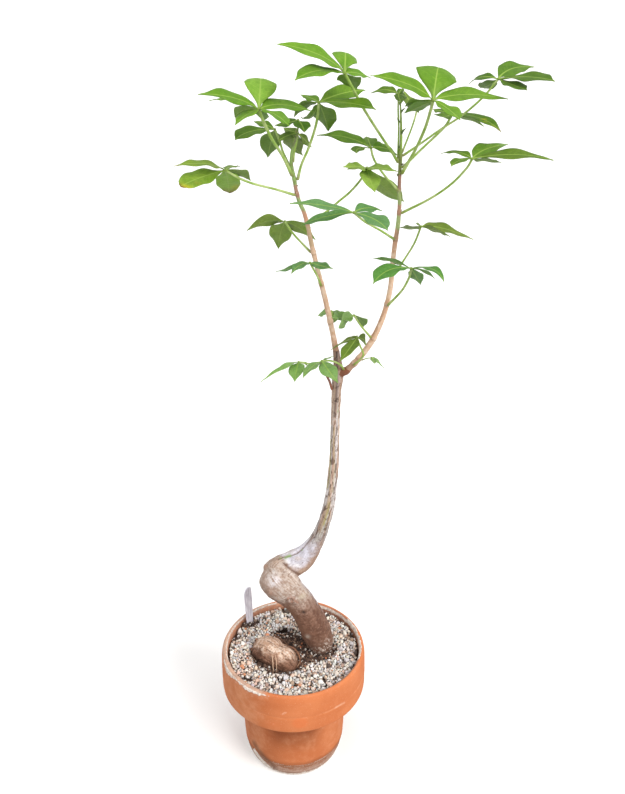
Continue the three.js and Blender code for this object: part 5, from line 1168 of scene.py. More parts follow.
# ------------------------------------------------------------------ pot
def make_pot():
    P = soften(resample(POT_PROFILE, 1.75), 1)
    seg = 320
    v, q = lathe(P, seg)
    a = np.degrees(np.arctan2(v[:, 1], v[:, 0])) % 360
    r = np.hypot(v[:, 0], v[:, 1])
    z = v[:, 2]
    ca, sa = np.cos(np.radians(a)), np.sin(np.radians(a))
    out = np.stack([ca, sa, np.zeros(len(v))], 1)
    outer = step(RIM_R - 9.0, RIM_R - 5.0, r) * (z > RIM_Z - 1)
    inner = (r < INNER_R + 1.6) & (z > 96) & (r > 52)
    # thrown by hand: faint rings, a little out of true, a few shallow chips along the edge
    h = 0.16 * fbm(np.stack([ca * 1.3, sa * 1.3, z / 5.5], 1), 3, 70) + 0.10 * np.sin(z * 1.9 + 2 * sa) * (z > 60)
    h += 0.25 * fbm(v / 30.0, 2, 71)
    chip = step(0.42, 0.62, fbm(np.stack([ca * 9, sa * 9, z * 0 + 0.3], 1), 3, 72)) * (1 - step(0.5, 2.6, abs(z - POT_H)))
    v = v + out * (h * np.where(inner, -1, 1))[:, None]
    v[:, 2] -= 0.7 * chip * step(INNER_R - 1, INNER_R + 2, r)
    # lime and dirt: where the collar's edge, its inside and the foot are stained; painted shade under the collar, on
    # the body's left side and on the inner wall
    def around(c, wide, soft=18.0):
        d = abs((a - c + 180) % 360 - 180)
        return 1 - step(wide, wide + soft, d)
    wob = fbm(np.stack([ca * 9, sa * 9, z * 0], 1), 3, 73)
    wob2 = fbm(np.stack([ca * 30, sa * 30, z * 0 + 3], 1), 2, 74)
    down = POT_H - z
    nv = normals(v, q)
    foot = np.clip(1 - (z + 1.6 * fbm(np.stack([ca * 4, sa * 4, z / 9.0], 1), 3, 75)) / 24.5, 0, 1) * (r > 36) * (z < 26)
    lip = step(INNER_R - 0.8, INNER_R + 0.8, r) * step(3.6, 2.2, down)
    edge = step(RIM_R - 3.2, RIM_R - 1.6, r) * (z > RIM_Z + 5)
    # white crust on the outer edge, front left
    reach = (1.3 + 3.0 * around(222, 20, 16)) * (1 + 0.7 * wob) + 1.1 * wob2
    c1 = edge * around(222, 33, 8) * (1 - step(-0.5, 0.9, down - reach)) * step(-0.95, -0.25, wob2 + 0.4)
    # flakes on the inside, right and back
    side_in = np.where(inner, 1.0, 0.0)
    c2 = side_in * around(32, 62, 12) * step(1.0, 2.4, down + 1.6 * wob2 + 1.0 * wob) * (0.95 - 0.55 * step(2.5, 5.5, down + 1.4 * wob))
    c2b = lip * np.maximum(around(32, 50, 14) * (1 - step(INNER_R + 0.3, INNER_R + 1.3, r + 0.9 * wob2)) * 0.7, around(8, 20, 12) * (1 - step(INNER_R + 1.8, INNER_R + 3.0, r + 1.4 * wob2)) * 0.95)
    c3 = np.maximum(side_in * (1 - step(0.6, 2.4, down + 1.2 * wob2)), lip * (1 - step(INNER_R + 0.8, INNER_R + 2.2, r))) * around(150, 46, 16) * 0.62
    wob3 = fbm(np.stack([ca * 4, sa * 4, z / 9.0], 1), 3, 75)
    c5 = ((1 - step(5.8, 6.8, z + 0.9 * wob)) * 1.0 + 0.42 * np.exp(-((z - 11.0 - 1.5 * wob) / 2.6) ** 2)) * (r > 38)
    crust = np.maximum.reduce([c1, c2, c2b, c3, c5])
    grime = np.maximum.reduce([
        lip * around(180, 62, 14) * 0.90, lip * 0.16,
        side_in * 0.5,
        edge * around(200, 40, 30) * 0.35 * (1 - step(2.0, 12.0, down))])
    stain = 0.85 * np.exp(-((z - 7.6 - 0.7 * wob) / 0.7) ** 2) * (r > 38) * (0.6 + 0.4 * around(270, 60, 40))
    # painted shade on the inner wall at the right and back; darker grime near the foot
    cold = np.where(inner, around(32, 62, 12), 0.0)
    cold = np.maximum(cold, 0.40 * (z < 24) * (0.6 + 0.8 * wob))
    # painted shade in the corner right under the collar
    stain = np.maximum(stain, 0.5 * (1 - step(0.0, 2.2, RIM_Z - z)) * (z < RIM_Z) * (r > 50))
    line = np.exp(-((z - RIM_Z - 21.3) / 0.75) ** 2) * (r > RIM_R - 3) * (0.35 + 0.65 * around(318, 26, 22))
    glow = np.maximum(np.clip(spot(v, nv, 300.5, 722.8, 10.0, 6.4, -8) * 3.2 - 1.25, 0, 1), 0.45 * np.clip(spot(v, nv, 274.0, 724.0, 7.0, 3.0, 10), 0, 1))
    pale = np.maximum(streak(v, nv, [(283.0, 713.5), (286.0, 712.6)], 0.5), 0.8 * streak(v, nv, [(336.0, 707.4), (345.0, 702.4)], 0.55))
    # painted shadow of the collar on the body, strongest at the front, painted shade on the left side, a slight
    # darkening of the whole body, then a damp band above the foot
    damp = (z < RIM_Z - 0.2) * (0.16 + 0.72 * around(272, 13, 26) * step(36, 72, z) + 0.36 * step(67, 78, z) + 0.20 * around(205, 30, 50)) * (r > BODY_IN + 2)
    damp = np.maximum(damp, 0.62 * np.exp(-((z - 24.5 - wob) / 3.4) ** 2) * (r > 38))
    damp = np.maximum(damp, 0.22 * around(195, 30, 50) * (r > 50))
    for pts_, w_ in (([(254.5, 742.0), (259.0, 750.0), (266.0, 757.5), (272.0, 763.5), (276.0, 768.0)], 2.0), ([(275.2, 768.2), (277.4, 768.8)], 1.2)):
        stain = np.maximum(stain, 0.95 * streak(v, nv, pts_, w_))
    facet = streak(v, nv, [(254.6, 749.5), (260.0, 757.5), (266.0, 764.0), (272.5, 769.4)], 1.5)
    crust = np.maximum(crust, 1.15 * facet)
    stain = stain * (1 - 0.9 * step(0.35, 0.6, facet))
    dust = (0.35 * around(312, 40, 30) + 0.55 * around(205, 24, 24)) * (z < RIM_Z) * step(12, 40, z)
    dust = np.maximum(dust, 0.60 * around(208, 26, 34) * (z > RIM_Z))
    h2 = 0.55 * np.clip(c1, 0, 1) * (0.4 + wob2 + 0.5) + 0.5 * np.clip(c2 + c2b, 0, 1) * (wob2 + 0.3) + 0.4 * c5 * (0.3 + wob2)
    v = v + out * (h2 * np.where(inner, -1, 1))[:, None]
    v[:, 2] += 0.5 * np.clip(c1 + c2b, 0, 1) * (0.3 + wob2) * lip
    g = Geo().add(v, q, None, crust=crust, grime=grime, stain=stain, dust=dust, damp=damp, line=line, cold=cold, glow=glow, pale=pale, foot=foot, ring=np.stack([ca * 3, sa * 3, z / 0.8], 1))
    show("pot_clay", data("pot_clay", g), pot_material(), "pot")


make_pot()

# ------------------------------------------------------------------ soil and the crumbs on it
rng = np.random.default_rng(4107)


def opening(a):
    x = (np.asarray(a) % (2 * np.pi)) / (2 * np.pi) * 36
    i = np.floor(x).astype(int) % 36
    f = x - np.floor(x)
    O = np.array(OPENING)
    return O[i] * (1 - f) + O[(i + 1) % 36] * f


HOLE_AT = at_level(283.5, 633.0, 130.0)


def soil_top(x, y):
    p = np.stack([x, y, np.zeros_like(x)], 1)
    r, a = np.hypot(x, y), np.arctan2(y, x)
    z = 133.0 + 1.3 * (1 - step(-6.0, 3.0, r - opening(a))) + 0.8 * fbm(p / 9.0, 3, 50) + 0.7 * fbm(p / 2.6, 3, 51)
    pu, pv = frame_px(np.stack([x, y, np.full_like(x, 133.0)], 1))
    run_ = np.min([np.hypot(pu - a_, pv - b_) for a_, b_ in ((256, 656), (258, 661), (262, 665), (267, 669), (272, 671.5), (277, 672.5), (282, 672.5), (287, 672), (292, 670.5), (296, 667.5))], 0)
    z = z - 3.6 * (1 - step(2.0, 5.5, run_))
    d = np.hypot(x - HOLE_AT[0], (y - HOLE_AT[1]) * 0.85)
    return z - 4.2 * (1 - step(3.0, 12.0, d))


def make_soil():
    seg = 240
    rows = [p for p in resample(SOIL_PROFILE, 6.0, False) if p[0] > 0.01]
    top = [(x, None) for x in np.arange(INNER_R - 1.9, 1.0, -1.35)]
    a = 2 * np.pi * np.arange(seg) / seg
    V = []
    for r, z in rows:
        V.append(np.stack([r * np.cos(a), r * np.sin(a), np.full(seg, z)], 1))
    for r, _ in top:
        x, y = r * np.cos(a), r * np.sin(a)
        V.append(np.stack([x, y, soil_top(x, y)], 1))
    m = len(V)
    v = np.concatenate(V + [np.array([[0, 0, SOIL_PROFILE[0][1]], [0, 0, float(soil_top(np.zeros(1), np.zeros(1))[0])]])])
    i, k = np.meshgrid(np.arange(m - 1), np.arange(seg), indexing="ij")
    k2 = (k + 1) % seg
    q = np.stack([i * seg + k, i * seg + k2, (i + 1) * seg + k2, (i + 1) * seg + k], -1).reshape(-1, 4)
    k = np.arange(seg); k2 = (k + 1) % seg
    t = np.concatenate([np.stack([np.full(seg, m * seg), k2, k], 1), np.stack([np.full(seg, m * seg + 1), (m - 1) * seg + k, (m - 1) * seg + k2], 1)])
    b = fbm(v / 3.0, 3, 52)
    col = mixc(tone(64, 48, 40), tone(98, 76, 64), step(-0.2, 0.35, b))
    within = (np.hypot(v[:, 0], v[:, 1]) < opening(np.arctan2(v[:, 1], v[:, 0])) + 3.0)[:, None]
    col = np.where(within, mixc(tone(74, 56, 48), tone(132, 104, 88), step(-0.25, 0.35, b)), col)
    d = np.hypot(v[:, 0] - HOLE_AT[0], v[:, 1] - HOLE_AT[1])
    col = mixc(col, tone(58, 42, 36), 0.8 * (1 - step(4.0, 12.0, d)))
    show("soil_body", data("soil_body", Geo().add(v, q, t, col=col)), soil_mat, "soil")


def icosphere(n):
    t = (1 + 5 ** 0.5) / 2
    v = [(-1, t, 0), (1, t, 0), (-1, -t, 0), (1, -t, 0), (0, -1, t), (0, 1, t), (0, -1, -t), (0, 1, -t), (t, 0, -1), (t, 0, 1), (-t, 0, -1), (-t, 0, 1)]
    f = [(0, 11, 5), (0, 5, 1), (0, 1, 7), (0, 7, 10), (0, 10, 11), (1, 5, 9), (5, 11, 4), (11, 10, 2), (10, 7, 6), (7, 1, 8),
         (3, 9, 4), (3, 4, 2), (3, 2, 6), (3, 6, 8), (3, 8, 9), (4, 9, 5), (2, 4, 11), (6, 2, 10), (8, 6, 7), (9, 8, 1)]
    v = [np.array(p, float) / np.linalg.norm(p) for p in v]
    for _ in range(n):
        seen, g = {}, []

        def mid(a, b):
            key = (min(a, b), max(a, b))
            if key not in seen:
                p = v[a] + v[b]
                v.append(p / np.linalg.norm(p))
                seen[key] = len(v) - 1
            return seen[key]
        for a, b, c in f:
            x, y, z = mid(a, b), mid(b, c), mid(c, a)
            g += [(a, x, z), (b, y, x), (c, z, y), (x, y, z)]
        f = g
    return np.array(v), np.array(f)


def rocks(n, level, lo_, hi_, cuts):
    """a few differently broken grains"""
    base, f = icosphere(level)
    out = []
    for _ in range(n):
        d = unit(rng.normal(size=(cuts, 3)))
        h = rng.uniform(0.55, 0.95, cuts)
        k = base @ d.T
        r = np.min(np.where(k > 0.05, h[None] / np.maximum(k, 0.05), 9.0), 1)
        r = np.minimum(r, 1.12)
        out.append((base * r[:, None]) * rng.uniform(lo_, hi_, 3))
    return out, f


def turn(n):
    """random rotations"""
    q = unit(rng.normal(size=(n, 4)))
    w, x, y, z = q.T
    return np.stack([np.stack([1 - 2 * (y * y + z * z), 2 * (x * y - z * w), 2 * (x * z + y * w)], 1),
                     np.stack([2 * (x * y + z * w), 1 - 2 * (x * x + z * z), 2 * (y * z - x * w)], 1),
                     np.stack([2 * (x * z - y * w), 2 * (y * z + x * w), 1 - 2 * (x * x + y * y)], 1)], 1)


def scatter(g, places, sizes, cols, kinds, f):
    if not len(places):
        return
    R = turn(len(places))
    pick = rng.integers(0, len(kinds), len(places))
    K = np.array(kinds)[pick]
    v = np.einsum("nij,nkj->nki", R, K) * np.asarray(sizes)[:, None, None] + np.asarray(places)[:, None]
    m = K.shape[1]
    t = (f[None] + (np.arange(len(places)) * m)[:, None, None]).reshape(-1, 3)
    g.add(v.reshape(-1, 3), None, t, col=np.repeat(np.asarray(cols), m, 0))


THIN = [(255.0, 621.6, 5.6, 2.6, 1.3), (236.0, 637.0, 2.6, 5.0, 1.2), (250.0, 679.5, 5.0, 3.0, 1.2), (325.5, 681.5, 2.6, 2.4, 1.2), (350.5, 635.5, 4.4, 3.2, 1.2), (246.0, 626.0, 2.6, 2.2, 1.0), (236.5, 636.0, 3.0, 5.0, 1.0), (252.5, 653.5, 3.0, 3.6, 1.0), (270.0, 671.0, 5.0, 2.2, 1.0), (281.5, 680.5, 4.6, 3.2, 1.0),
        (295.5, 685.5, 4.2, 2.6, 1.0), (250.0, 679.5, 5.0, 3.2, 1.0), (325.5, 681.0, 3.0, 2.4, 1.0), (351.0, 635.5, 4.6, 3.4, 1.0), (333.0, 652.0, 2.2, 3.6, 1.0), (308.0, 657.5, 4.0, 2.6, 1.0),
        (284.0, 610.5, 4.4, 2.6, 1.0), (288.0, 673.0, 7.0, 2.4, 0.9), (230.0, 655.0, 1.8, 8.0, 1.0), (340.0, 628.0, 2.0, 2.0, 0.7), (320.0, 665.0, 2.0, 1.6, 0.8), (236.0, 668.0, 2.0, 1.6, 0.8),
        (262.0, 690.0, 2.0, 1.4, 0.8), (310.0, 690.0, 2.2, 1.4, 0.8), (345.0, 668.0, 2.2, 1.6, 0.7), (268.0, 618.0, 2.0, 1.4, 0.7), (340.0, 655.0, 2.0, 1.6, 0.8), (300.0, 671.0, 2.4, 1.6, 0.8)]

GX = np.arange(-74.0, 74.01, 0.5)
GU, GW = np.meshgrid(GX, GX, indexing="ij")
GP = np.stack([GU.ravel(), GW.ravel(), np.full(GU.size, 135.0)], 1)
PU, PV = frame_px(GP)
BARE = np.max([k * np.exp(-((PU - a) / c) ** 2 - ((PV - b) / d) ** 2) for a, b, c, d, k in THIN], 0) - 0.20 * noise(GP / 2.1, 95)
BARE = BARE.reshape(GU.shape)


def bare(x, y, part):
    """whether a grain stays away from a place where the soil shows"""
    return BARE[int(round((x + 74.0) * 2)), int(round((y + 74.0) * 2))] > part


def darts(n, gap, ok, rmax):
    """places scattered no closer than gap (gap may depend on the place's draw)"""
    cell = {}
    got = []
    size = float(np.max(gap))
    tries = 0
    while len(got) < n and tries < n * 60:
        tries += 1
        r = rmax * math.sqrt(rng.random())
        a = rng.random() * 2 * math.pi
        x, y = r * math.cos(a), r * math.sin(a)
        s = gap[0] + (gap[1] - gap[0]) * rng.random() ** 1.5
        if not ok(x, y, s):
            continue
        i, j = int(x // size), int(y // size)
        bad = False
        for di in (-2, -1, 0, 1, 2):
            for dj in (-2, -1, 0, 1, 2):
                for (u, w, t) in cell.get((i + di, j + dj), ()):
                    if (u - x) ** 2 + (w - y) ** 2 < (0.46 * (s + t)) ** 2:
                        bad = True
                        break
                if bad:
                    break
            if bad:
                break
        if bad:
            continue
        cell.setdefault((i, j), []).append((x, y, s))
        got.append((x, y, s))
    return np.array(got)


PALETTE = [((246, 236, 224), 26), ((255, 254, 252), 21), ((216, 212, 214), 21), ((240, 212, 194), 12), ((226, 160, 124), 2), ((186, 160, 142), 10), ((92, 78, 72), 6)]
GRIT = 1.09
TONES = np.array([tone(*c) for c, _ in PALETTE])
SHARE = np.array([w for _, w in PALETTE], float) / sum(w for _, w in PALETTE)


def grain_cols(n, share=None):
    c = TONES[rng.choice(len(TONES), n, p=SHARE if share is None else share)] * GRIT
    return np.minimum(0.97, c * rng.uniform(0.80, 1.08, (n, 1))) * rng.uniform(0.96, 1.04, (n, 3))


# where the gravel lies thin and the soil shows dark between the grains, in the photograph's frame
def tag_gap(x, y):
    c, s = math.cos(math.radians(TAG["turn"])), math.sin(math.radians(TAG["turn"]))
    dx, dy = x - TAG["x"], y - TAG["y"]
    return max(abs(dx * c + dy * s) - TAG["w"] / 2, abs(-dx * s + dy * c) - TAG["t"] / 2)


def make_gravel():
    big, fb = rocks(14, 1, 0.72, 1.15, 9)
    small, fs = rocks(10, 0, 0.75, 1.2, 5)
    outR = INNER_R - 1.4
    wob = np.array([0.0])

    def edge(x, y):
        a = math.atan2(y, x)
        return math.hypot(x, y) - float(opening(a)) - 1.8 * math.sin(5 * a + 1.0) * math.sin(9 * a)
    # under layer, its grains darkened to two thirds: painted shade in the gaps between the top grains
    low = darts(1500, (2.8, 4.6), lambda x, y, s: not bare(x, y, 0.50) and edge(x, y) > 0.3 and tag_gap(x, y) > s * 0.5 and math.hypot(x, y) + s * 0.5 < outR, outR)
    g = Geo()
    sz = low[:, 2] * 0.52
    zz = 133.9 + 0.5 * noise(np.stack([low[:, 0] / 6, low[:, 1] / 6, low[:, 0] * 0], 1), 90)
    scatter(g, np.stack([low[:, 0], low[:, 1], zz], 1), sz, grain_cols(len(low)) * 0.66, small, fs)
    # top layer
    top = darts(1700, (2.4, 5.8), lambda x, y, s: edge(x, y) > 1.2 + 0.6 * s and tag_gap(x, y) > s * 0.45 and math.hypot(x, y) + s * 0.5 < outR and not bare(x, y, 0.40), outR)
    h = Geo()
    tu, tw = frame_px(np.stack([top[:, 0], top[:, 1], np.full(len(top), 136.0)], 1))
    # painted light: the grains behind and left of the knob made lighter where the knob and trunk shade them
    gain = 1 + 0.62 * np.exp(-((tu - 274.0) / 15.0) ** 2 - ((tw - 624.0) / 10.0) ** 2)
    zz = 135.4 + 0.45 * noise(np.stack([top[:, 0] / 7, top[:, 1] / 7, top[:, 0] * 0], 1), 91) + rng.uniform(-0.3, 0.4, len(top))
    scatter(h, np.stack([top[:, 0], top[:, 1], zz], 1), top[:, 2] * 0.53, np.minimum(0.97, grain_cols(len(top)) * gain[:, None]), big, fb)
    # chips between them and strays on the soil
    chips = darts(1400, (1.2, 2.2), lambda x, y, s: (not bare(x, y, 0.42) or (int(x * 7919 + y * 104729) % 9) == 0) and edge(x, y) > -2.5 - 3.0 * rng.random() and tag_gap(x, y) > s * 0.45 and math.hypot(x, y) + s * 0.5 < outR, outR)
    zc = np.where([edge(x, y) > 1.5 for x, y, _ in chips], 135.6 + rng.uniform(-0.4, 0.9, len(chips)), soil_top(chips[:, 0], chips[:, 1]) + 0.5)
    share = np.array([26, 13, 18, 15, 3, 13, 12.0]); share /= share.sum()
    scatter(g, np.stack([chips[:, 0], chips[:, 1], zc], 1), chips[:, 2] * 0.55, grain_cols(len(chips), share), small, fs)
    # single stones that stand out
    pl, ss, cc = [], [], []
    for u, w, z, s, c in SINGLES:
        p = at_level(u, w, z)
        pl.append(p); ss.append(s); cc.append(tone(*c))
    scatter(h, np.array(pl), ss, np.array(cc), big, fb)
    show("gravel_upper", data("gravel_upper", h), grain_mat, "gravel_topdressing", smooth=False)
    show("gravel_lower", data("gravel_lower", g), grain_mat, "gravel_topdressing", smooth=False)


SINGLES = [(329.0, 666.0, 137.0, 2.6, (92, 80, 76)), (308.0, 637.0, 136.8, 2.4, (236, 230, 224)), (246.0, 629.0, 137.0, 2.0, (214, 150, 112)), (340.0, 628.0, 136.8, 2.0, (208, 146, 112)),
           (302.5, 643.5, 136.4, 1.3, (206, 132, 96)), (262.0, 683.0, 137.2, 2.4, (240, 236, 230)), (300.0, 685.0, 137.2, 2.0, (216, 160, 130)), (352.0, 668.0, 137.0, 2.3, (96, 84, 80)),
           (316.0, 676.0, 137.0, 2.2, (244, 240, 236)), (352.0, 640.0, 137.0, 2.4, (176, 150, 130))]

soil_mat = grain_material("soil")
grain_mat = grain_material("gravel")
make_soil()
make_gravel()


def make_crumbs():
    crumb, f = rocks(10, 0, 0.7, 1.3, 5)
    pts = darts(1300, (1.2, 3.4), lambda x, y, s: math.hypot(x, y) < float(opening(math.atan2(y, x))) + 2.5, 48.0)
    z = soil_top(pts[:, 0], pts[:, 1]) + 0.25 * pts[:, 2]
    cols = np.array([tone(84, 62, 52), tone(120, 92, 76), tone(176, 146, 124), tone(54, 42, 38), tone(246, 238, 230), tone(224, 138, 98)])[rng.choice(6, len(pts), p=[0.32, 0.28, 0.10, 0.22, 0.07, 0.01])]
    g = Geo()
    scatter(g, np.stack([pts[:, 0], pts[:, 1], z], 1), pts[:, 2] * 0.55, cols, crumb, f)
    show("soil_crumbs", data("soil_crumbs", g), soil_mat, "soil", smooth=False)


make_crumbs()


def make_clods():
    crumb, f = rocks(8, 0, 0.8, 1.25, 5)
    pl, ss, cc = [], [], []
    for k in range(130):
        u, w = 249.6 + 3.0 * rng.normal(), 624.4 + 1.1 * rng.normal()
        p = at_level(u, w, 136.6 + 2.0 * rng.random())
        if tag_gap(p[0], p[1]) < 0.7 or math.hypot(p[0], p[1]) > INNER_R - 2.0:
            continue
        pl.append(p); ss.append(rng.uniform(0.5, 1.15)); cc.append(tone(*((70, 52, 44), (98, 76, 64), (52, 40, 36), (214, 204, 196))[rng.choice(4, p=[0.35, 0.3, 0.2, 0.15])]))
    g = Geo()
    scatter(g, np.array(pl), ss, np.array(cc), crumb, f)
    show("label_clods", data("label_clods", g), soil_mat, "soil", smooth=False)


make_clods()


# ------------------------------------------------------------------ thin closed sheets
def shell(F, B):
    """closed sheet from matching grids of points for its two sides"""
    m, n = F.shape[:2]
    v = np.concatenate([F.reshape(-1, 3), B.reshape(-1, 3)])
    i, j = np.meshgrid(np.arange(m - 1), np.arange(n - 1), indexing="ij")
    a = i * n + j
    q = [np.stack([a, a + n, a + n + 1, a + 1], -1).reshape(-1, 4)]
    q.append(np.stack([a + 1, a + n + 1, a + n, a], -1).reshape(-1, 4) + m * n)
    o = m * n
    i = np.arange(m - 1)
    q.append(np.stack([i * n, o + i * n, o + (i + 1) * n, (i + 1) * n], -1))
    e = i * n + n - 1
    q.append(np.stack([e, e + n, o + e + n, o + e], -1))
    j = np.arange(n - 1)
    q.append(np.stack([j, j + 1, o + j + 1, o + j], -1))
    e = (m - 1) * n + j
    q.append(np.stack([e, o + e, o + e + 1, e + 1], -1))
    return v, np.concatenate(q)


def make_label():
    zs = np.concatenate([np.linspace(-TAG["below"] - 3, TAG["h"] - 6, 34), TAG["h"] - 5.5 + 5.5 * np.sin(np.linspace(0.1, math.pi / 2, 10))])
    t = np.linspace(-1, 1, 13)
    half = []
    for z in zs:
        w = TAG["w"] * (0.99 - 0.13 * (1 - step(-4.0, 30.0, z))) / 2
        if z > TAG["h"] - 5.5:
            w = w - 5.5 + math.sqrt(max(0.0, 5.5 ** 2 - (z - TAG["h"] + 5.5) ** 2))
        if z < -TAG["below"] + 6:
            w *= 0.35 + 0.65 * (z + TAG["below"] + 3) / 9.0
        half.append(w)
    c, s = math.cos(math.radians(TAG["turn"])), math.sin(math.radians(TAG["turn"]))
    F = np.zeros((len(zs), 13, 3)); B = F.copy()
    for i, (z, w) in enumerate(zip(zs, half)):
        for j, k in enumerate(t):
            x = k * w
            th = TAG["t"] / 2 - 0.25 * max(0.0, abs(k) - 0.85) / 0.15
            for G, y in ((F, -th), (B, th)):
                G[i, j] = (TAG["x"] + x * c - y * s + TAG["lean"][0] * z, TAG["y"] + x * s + y * c + TAG["lean"][1] * z, GRAVEL_Z + z)
    v, q = shell(F, B)
    low = 0.6 * (1 - step(-1.0, 3.0, v[:, 2] - GRAVEL_Z))
    n = normals(v, q)
    if ((n[:len(v) // 2].mean(0)) @ np.array([s, -c, 0])) < 0:
        q = q[:, ::-1]
    show("label_sheet", data("label_sheet", Geo().add(v, q, None, low=low)), label_material(), "plant_label")


make_label()

# ------------------------------------------------------------------ leaves
leaf_mat = leaf_material()
SKY = unit(np.array([0, -0.35, 1.0]))
# the bluish green tone (122, 174, 104) carries a painted reflection of the sky on the tops of leaf_r09, leaf_r11 and
# leaf_l08
TONE = {"bright": (127, 178, 50), "mid": (117, 160, 48), "dark": (102, 145, 40), "dull": (128, 156, 64), "olive": (140, 174, 66), "sky_sheen_green": (122, 174, 104), "pale": (148, 190, 112), "light": (142, 178, 74)}
KIND = {"leaf_l02": "bright", "leaf_r01": "bright", "leaf_r02": "bright", "leaf_l03": "mid", "leaf_l06": "mid", "leaf_r03": "mid", "leaf_r05": "mid", "leaf_r07": "mid", "leaf_r08": "mid",
        "leaf_l05": "dark", "leaf_r06": "dark", "leaf_l01": "olive", "leaf_l04": "dull", "leaf_l07": "dull", "leaf_r04": "dull", "leaf_r10": "dull", "leaf_r13": "dull",
        "leaf_r09": "sky_sheen_green", "leaf_r11": "sky_sheen_green", "leaf_l08": "sky_sheen_green", "leaf_l09": "light", "leaf_t01": "pale", "leaf_t02": "pale", "leaf_l10": "pale", "leaf_r12": "pale", "leaf_r14": "pale"}
SPECKLE = {"sky_sheen_green": 0.8, "pale": 0.6, "light": 0.25}
# worn places: how far along, where across, reach along, reach across, colour, strength
WORN = {("leaf_l01", 0): [(1.0, 0.0, 0.05, 3.0, (176, 112, 84), 0.9)],
        ("leaf_l01", 1): [(0.94, -0.5, 0.07, 0.8, (206, 202, 52), 0.85), (0.70, -0.55, 0.06, 0.3, (176, 186, 60), 0.55), (1.0, 0.0, 0.035, 3.0, (150, 96, 52), 0.9)],
        ("leaf_l01", 2): [(0.82, 0.8, 0.10, 0.5, (200, 204, 60), 0.8), (0.90, 0.0, 0.06, 0.8, (176, 170, 66), 0.5), (1.0, 0.0, 0.07, 3.0, (150, 100, 62), 0.95)],
        ("leaf_r05", 2): [(0.57, 0.0, 0.03, 0.28, (222, 214, 40), 0.9), (0.66, 0.40, 0.028, 0.25, (206, 204, 50), 0.75), (0.88, 0.4, 0.08, 0.5, (176, 186, 56), 0.6), (1.0, 0.0, 0.06, 3.0, (170, 110, 84), 0.95)],
        ("leaf_r07", 2): [(0.93, 0.0, 0.08, 3.0, (140, 176, 130), 0.5)], ("leaf_l05", 1): [(1.0, 0.0, 0.05, 3.0, (120, 90, 70), 0.7)]}
OUTLINES.update({
    "std": [[0, .07], [.05, .11], [.12, .33], [.24, .74], [.36, .98], [.46, 1.04], [.58, .96], [.70, .74], [.80, .47], [.88, .25], [.94, .12], [1, 0]],
    "ob": [[0, .07], [.05, .10], [.13, .28], [.26, .62], [.40, .88], [.53, 1.02], [.66, 1.02], [.77, .84], [.86, .50], [.925, .19], [1, 0]],
    "crest": [[0, .07], [.05, .13], [.13, .41], [.24, .82], [.35, 1.02], [.46, 1.03], [.58, .93], [.70, .74], [.80, .52], [.88, .31], [.94, .16], [1, 0]]})


# small changes to how single leaflets arch: shift of the middle, and of the tip
ARCH = {("leaf_r01", 0): ((11.0, 5.0, -2.3), (0, 0, 0)), ("leaf_l02", 0): ((8.0, 5.0, -1.0), (0, 0, 0)), ("leaf_r02", 0): ((7.7, 4.0, -1.0), (0, 0, 0))}
# small differences of colour between leaves, and between leaflets of a leaf
TINT = {("leaf_l02", 0): (.84, .90, .62), ("leaf_l02", "crest"): (1.50, 1.30, 2.2), ("leaf_r02", "crest"): (.88, .90, .76), ("leaf_r02", 2): (.90, .90, 1.0), ("leaf_r02", 0): (.94, .95, .80),
        "leaf_l06": (1.08, 1.12, .98), ("leaf_r01", 0): (1.0, 1.0, .87), ("leaf_l01", 1): (1.15, 1.2, 1.0), ("leaf_l01", 2): (1.60, 1.70, 1.22), "leaf_l09": (1.38, 1.30, 1.55),
        ("leaf_r07", 3): (.95, .80, .95), ("leaf_r09", 2): (.78, .88, .82), "leaf_l07": (1.5, 1.5, 1.25), "leaf_t02": (1.15, 1.16, 1.1), "leaf_r11": (.75, .92, .56), ("leaf_l05", 1): (.95, 1.02, 1.4)}


